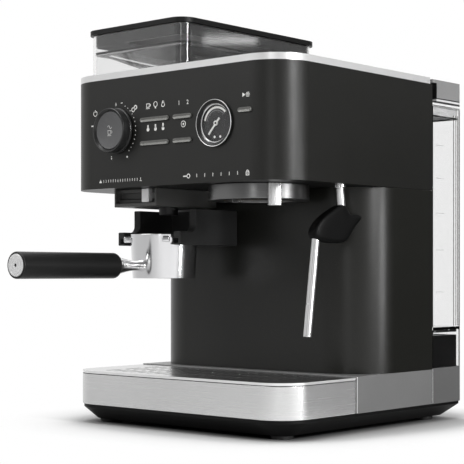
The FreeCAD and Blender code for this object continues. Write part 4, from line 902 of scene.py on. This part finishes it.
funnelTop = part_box("hopper_funnel")[1].z / mm
hopperFunnel = copyNode("hopper_funnel", "hopperFunnel")
funnelRim = copyNode("hopper_funnel", "funnelRim")
keepSide(hopperFunnel, funnelTop - 2.3, False)
closeCut(hopperFunnel)
roundEdges(hopperFunnel, 0.3)
settle(hopperFunnel, "hopper", "smoke_clear", hopperClear, "hopper_funnel")
keepSide(funnelRim, funnelTop - 2.3, True)
closeCut(funnelRim)
roundEdges(funnelRim, 0.3)
settle(funnelRim, "hopper", "lid_black", lidBlack, "hopper_funnel")
print("hopper funnel made")


# hopper lid: a black plate and the smoked skirt under it

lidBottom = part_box("hopper_body")[1].z / mm + 0.3
lidPlate = copyNode("hopper_lid", "lidPlate")
lidSkirt = copyNode("hopper_lid", "lidSkirt")
keepSide(lidPlate, lidBottom + 0.02, True)
closeCut(lidPlate)
roundEdges(lidPlate, 1.4)
settle(lidPlate, "hopper_cover", "lid_black", lidBlack, "hopper_lid")
keepSide(lidSkirt, lidBottom - 0.02, False)
closeCut(lidSkirt)
roundEdges(lidSkirt, 0.5)
settle(lidSkirt, "hopper_cover", "smoke_clear", hopperSmoke, "hopper_lid")
print("hopper lid made")


# tank: clear body, black seal under its floor, level marks, lid with light and dark bands by height

tankLow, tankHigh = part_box("tank_body")
tankSide = tankHigh.x
tankFront = tankLow.y
tank = {"sealTop": 96.9, "sealHeight": 2.6, "sealInset": 2.7, "sealWidth": 2.0, "sealCorner": 9.0,
        "levels": (293.0, 258.0, 221.0, 182.0, 137.4), "markStart": 6.5, "markLength": 15.0,
        "plinthSetIn": 3.5, "ribs": (40.4, 45.0, 48.6), "ribSpan": (101.0, 327.0)}
tankBody = copyNode("tank_body", "tankBody")
roundEdges(tankBody, 0.5)
settle(tankBody, "tank", "tank_clear", tankClear, "tank_body")


def makePlinth():  # the back face comes forward, so that a clear strip shows behind it
    plinth = copyNode("tank_plinth", "tankPlinth")
    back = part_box("tank_plinth")[1].y
    pick(plinth)
    for vertex in plinth.data.vertices:
        vertex.select = vertex.co.y > back - 3.0 * mm
    bpy.ops.object.mode_set(mode="EDIT")
    bpy.ops.transform.translate(value=(0, -tank["plinthSetIn"] * mm, 0))
    dropSelection()
    roundEdges(plinth, 0.8)
    return plinth


settle(makePlinth(), "machine", "black_plastic", panBlack, "tank_plinth")


def makeSeal():  # a band all round, just inside the clear walls
    dropSelection()
    bpy.ops.mesh.primitive_cube_add(size=1, location=(tankLow + tankHigh) / 2)
    seal = bpy.context.object
    seal.name = "tankSeal"
    inset = 2 * tank["sealInset"] * mm
    seal.location.z = (tank["sealTop"] - tank["sealHeight"] / 2) * mm
    seal.scale = (tankHigh.x - tankLow.x - inset, tankHigh.y - tankLow.y - inset, tank["sealHeight"] * mm)
    fixPlace(seal)
    editAll(seal)
    bpy.ops.mesh.select_all(action="DESELECT")
    bpy.ops.mesh.select_mode(type="FACE")
    bpy.ops.object.mode_set(mode="OBJECT")
    for face in seal.data.polygons:
        face.select = abs(face.normal.z) > 0.9
    bpy.ops.object.mode_set(mode="EDIT")
    bpy.ops.mesh.delete(type="ONLY_FACE")
    bpy.ops.mesh.select_mode(type="EDGE")
    bpy.ops.mesh.select_all(action="DESELECT")
    bpy.ops.object.mode_set(mode="OBJECT")
    for edge in seal.data.edges:
        first, second = [seal.data.vertices[i].co for i in edge.vertices]
        edge.select = abs(first.z - second.z) > 0.001
    bpy.ops.object.mode_set(mode="EDIT")
    bpy.ops.mesh.bevel(offset=tank["sealCorner"] * mm, segments=6)
    bpy.ops.mesh.select_mode(type="VERT")
    dropSelection()
    useModifier(seal, "SOLIDIFY", thickness=tank["sealWidth"] * mm, offset=-1)
    editAll(seal)
    bpy.ops.mesh.normals_make_consistent(inside=False)
    smoothByAngle(seal)
    return seal


settle(makeSeal(), "tank", "rubber", rubberBlack)


def levelMark(height):
    bpy.ops.mesh.primitive_cube_add(size=mm, location=(tankSide + 0.1 * mm, tankFront + (tank["markStart"]
                                    + tank["markLength"] / 2) * mm, height * mm))
    mark = bpy.context.object
    mark.scale = (0.3, tank["markLength"], 0.7)
    fixPlace(mark)
    return mark


dropSelection()
levelMarks = joinPieces("levelMarks", [levelMark(height) for height in tank["levels"]])
settle(levelMarks, "tank", "hose", printGrey)


def tankRib(depth):  # a fine upright line moulded on the side
    low, high = tank["ribSpan"]
    bpy.ops.mesh.primitive_cube_add(size=mm, location=(tankSide + 0.05 * mm, tankFront + depth * mm,
                                                       (low + high) / 2 * mm))
    rib = bpy.context.object
    rib.scale = (0.3, 0.9, high - low)
    fixPlace(rib)
    return rib


dropSelection()
tankRibs = joinPieces("tankRibs", [tankRib(depth) for depth in tank["ribs"]])
settle(tankRibs, "tank", "tank_clear", ribSmoke)

lidBands = ((342.9, 0.02), (341.6, 0.55), (339.6, 0.03), (337.4, 0.60), (335.2, 0.05), (334.4, 0.95),
            (325.0, 0.005))  # grey level below each height

lidRecessShade = {"back": tankFront / mm + 8.2, "top": 358.3}  # painted shade in the finger recess at the lid's front


def bandedLid():
    material, tree, shader, place = newMaterial("bandedLid")
    tone = useGroup(tree, driftGroup, Position=place, Colour=(0.20, 0.20, 0.20, 1), Scale=25.0, Amount=0.06)
    split = tree.nodes.new("ShaderNodeSeparateXYZ")
    tree.links.new(place, split.inputs[0])
    inFront = mathNode(tree, "LESS_THAN", split.outputs["Y"], lidRecessShade["back"] * mm)
    underFlange = mathNode(tree, "LESS_THAN", split.outputs["Z"], lidRecessShade["top"] * mm)
    recess = mathNode(tree, "MULTIPLY", inFront, underFlange)
    # painted shade: the finger recess under the flange is coloured near black
    shade = tree.nodes.new("ShaderNodeMix")
    shade.data_type = "RGBA"
    tree.links.new(recess, shade.inputs["Factor"])
    tree.links.new(tone["Colour"], shade.inputs["A"])
    shade.inputs["B"].default_value = (0.010, 0.010, 0.010, 1)
    below = shade.outputs["Result"]
    for height, level in lidBands:
        band = tree.nodes.new("ShaderNodeMix")
        band.data_type = "RGBA"
        tree.links.new(mathNode(tree, "LESS_THAN", split.outputs["Z"], height * mm), band.inputs["Factor"])
        tree.links.new(below, band.inputs["A"])
        band.inputs["B"].default_value = (level, level, level, 1)
        below = band.outputs["Result"]
    tree.links.new(below, shader.inputs["Base Color"])
    setGloss(tree, shader, place, 0.32, 0.04)
    setBump(tree, shader, useGroup(tree, grainGroup, Position=place, Scale=900.0)["Height"], 0.06, 0.05)
    return material


tankLid = copyNode("tank_lid", "tankLid")
roundEdges(tankLid, 2.2, 4)
settle(tankLid, "tank_cover", "tank_lid_grey", bandedLid(), "tank_lid")
print("tank made")


# steam wand paddle, shaped in its own upright plane and then turned into place

paddle = {
    "points": ((3.9, -20.5), (13.3, -25.0), (26.7, -32.5), (36.0, -40.5), (40.0, -50.0), (36.5, -54.5),
               (26.7, -57.2), (6.6, -58.4), (-4.3, -57.3), (-10.0, -49.5), (-16.7, -40.6), (-24.6, -34.6),
               (-27.0, -31.0), (-23.0, -28.8), (-13.9, -30.0), (-8.6, -28.6), (-6.9, -23.5), (-1.7, -19.6)),
    "steps": ((4.0, 1.0), (1.8, 0.95), (1.1, 0.88), (0.4, 0.8)),
    "yaw": 8.8,
    "centre": (8.0, -44.0),
}


def makePaddle():
    piece = startPath("wandPaddle")
    drawPath([Vector((s * mm, 0, drop * mm)) for s, drop in paddle["points"]])
    bpy.ops.mesh.select_all(action="SELECT")
    bpy.ops.mesh.edge_face_add()
    hub = Vector((paddle["centre"][0] * mm, 0, paddle["centre"][1] * mm))
    for rise, scale in paddle["steps"]:
        bpy.ops.mesh.extrude_region_move(TRANSFORM_OT_translate={"value": (0, rise * mm, 0)})
        bpy.ops.transform.resize(value=(scale, 1, scale), center_override=hub)
    bpy.ops.mesh.select_all(action="DESELECT")
    bpy.ops.mesh.select_mode(type="FACE")
    bpy.ops.object.mode_set(mode="OBJECT")
    for face in piece.data.polygons:
        face.select = all(abs(piece.data.vertices[i].co.y) < 0.00001 for i in face.vertices)
    bpy.ops.object.mode_set(mode="EDIT")
    bpy.ops.mesh.delete(type="FACE")
    bpy.ops.mesh.select_mode(type="VERT")
    dropSelection()
    useModifier(piece, "MIRROR", use_axis=(False, True, False), merge_threshold=0.00001)
    useModifier(piece, "SUBSURF", levels=2, render_levels=2)
    editAll(piece)
    bpy.ops.mesh.normals_make_consistent(inside=False)
    dropSelection()
    socket = middle("wand_socket")
    piece.location = (socket.x, socket.y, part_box("head_shell")[0].z)
    piece.rotation_euler = (0, 0, math.radians(-90 - paddle["yaw"]))
    fixPlace(piece)
    bpy.ops.object.shade_smooth()
    return piece


settle(makePaddle(), "wand", "silicone", silicone, "wand_grip")
print("paddle made")


# ears on the portafilter ring and the grind outlet over it

ringAxis = Vector((middle("filter_basket").x, middle("filter_basket").y, 0))
ears = {"turns": (-43.0, -137.0), "reach": (34.5, 42.0), "width": 8.0, "heights": (189.4, 195.6)}
outlet = {"profile": [(0.4, 8.4), (0.4, 10.2), (-7.0, 9.8), (-7.6, 9.4), (-7.4, 8.4), (0.4, 8.4)],
          "shift": (3.7, 3.2)}


def ringEar(turn):
    inner, outer = ears["reach"]
    low, high = ears["heights"]
    dropSelection()
    bpy.ops.mesh.primitive_cube_add(size=mm, location=((inner + outer) / 2 * mm, 0, (low + high) / 2 * mm))
    ear = bpy.context.object
    ear.scale = (outer - inner, ears["width"], high - low)
    fixPlace(ear)
    ear.rotation_euler = (0, 0, math.radians(turn))
    ear.location = ringAxis
    fixPlace(ear)
    roundEdges(ear, 1.2)
    return ear


ringEars = joinPieces("ringEars", [ringEar(turn) for turn in ears["turns"]])
settle(ringEars, "portafilter", "chrome", ringChrome)
outletTop = Vector((ringAxis.x + outlet["shift"][0] * mm, ringAxis.y + outlet["shift"][1] * mm,
                    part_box("grind_block")[0].z))
grindOutlet = turned("grindOutlet", outlet["profile"], outletTop, (0, 0, 1), 32)
settle(grindOutlet, "machine", "black_plastic", blackPlastic)
print("ears and outlet made")


# grip end: a steel disc with two turned grooves and a small dark dimple

gripEnd = Vector((middle("grip_end_cap").x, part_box("grip_end_cap")[0].y, middle("grip_end_cap").z))
gripDisc = {"profile": [(14.0, 0), (14.0, 3.9), (2.4, 3.9), (2.4, 10.9), (0.6, 10.9), (0.15, 10.5),
                        (0, 9.8), (0, 8.7), (0.3, 8.5), (0.3, 8.2), (0, 8.0), (0, 4.6), (0.3, 4.4),
                        (0.3, 4.1), (0, 3.9), (0, 2.0), (0.3, 1.7), (0.9, 1.5), (0.9, 0)],
            "dimple": [(0.5, 0), (0.5, 1.5), (0.9, 1.5), (0.9, 0)]}
gripEndCap = turned("gripEndCap", gripDisc["profile"], gripEnd, (0, 1, 0), 64)
settle(gripEndCap, "portafilter", "steel", silverTrim, "grip_end_cap")
gripDimple = turned("gripDimple", gripDisc["dimple"], gripEnd, (0, 1, 0), 24)
settle(gripDimple, "portafilter", "black_plastic", blackPlastic)
print("grip end made")
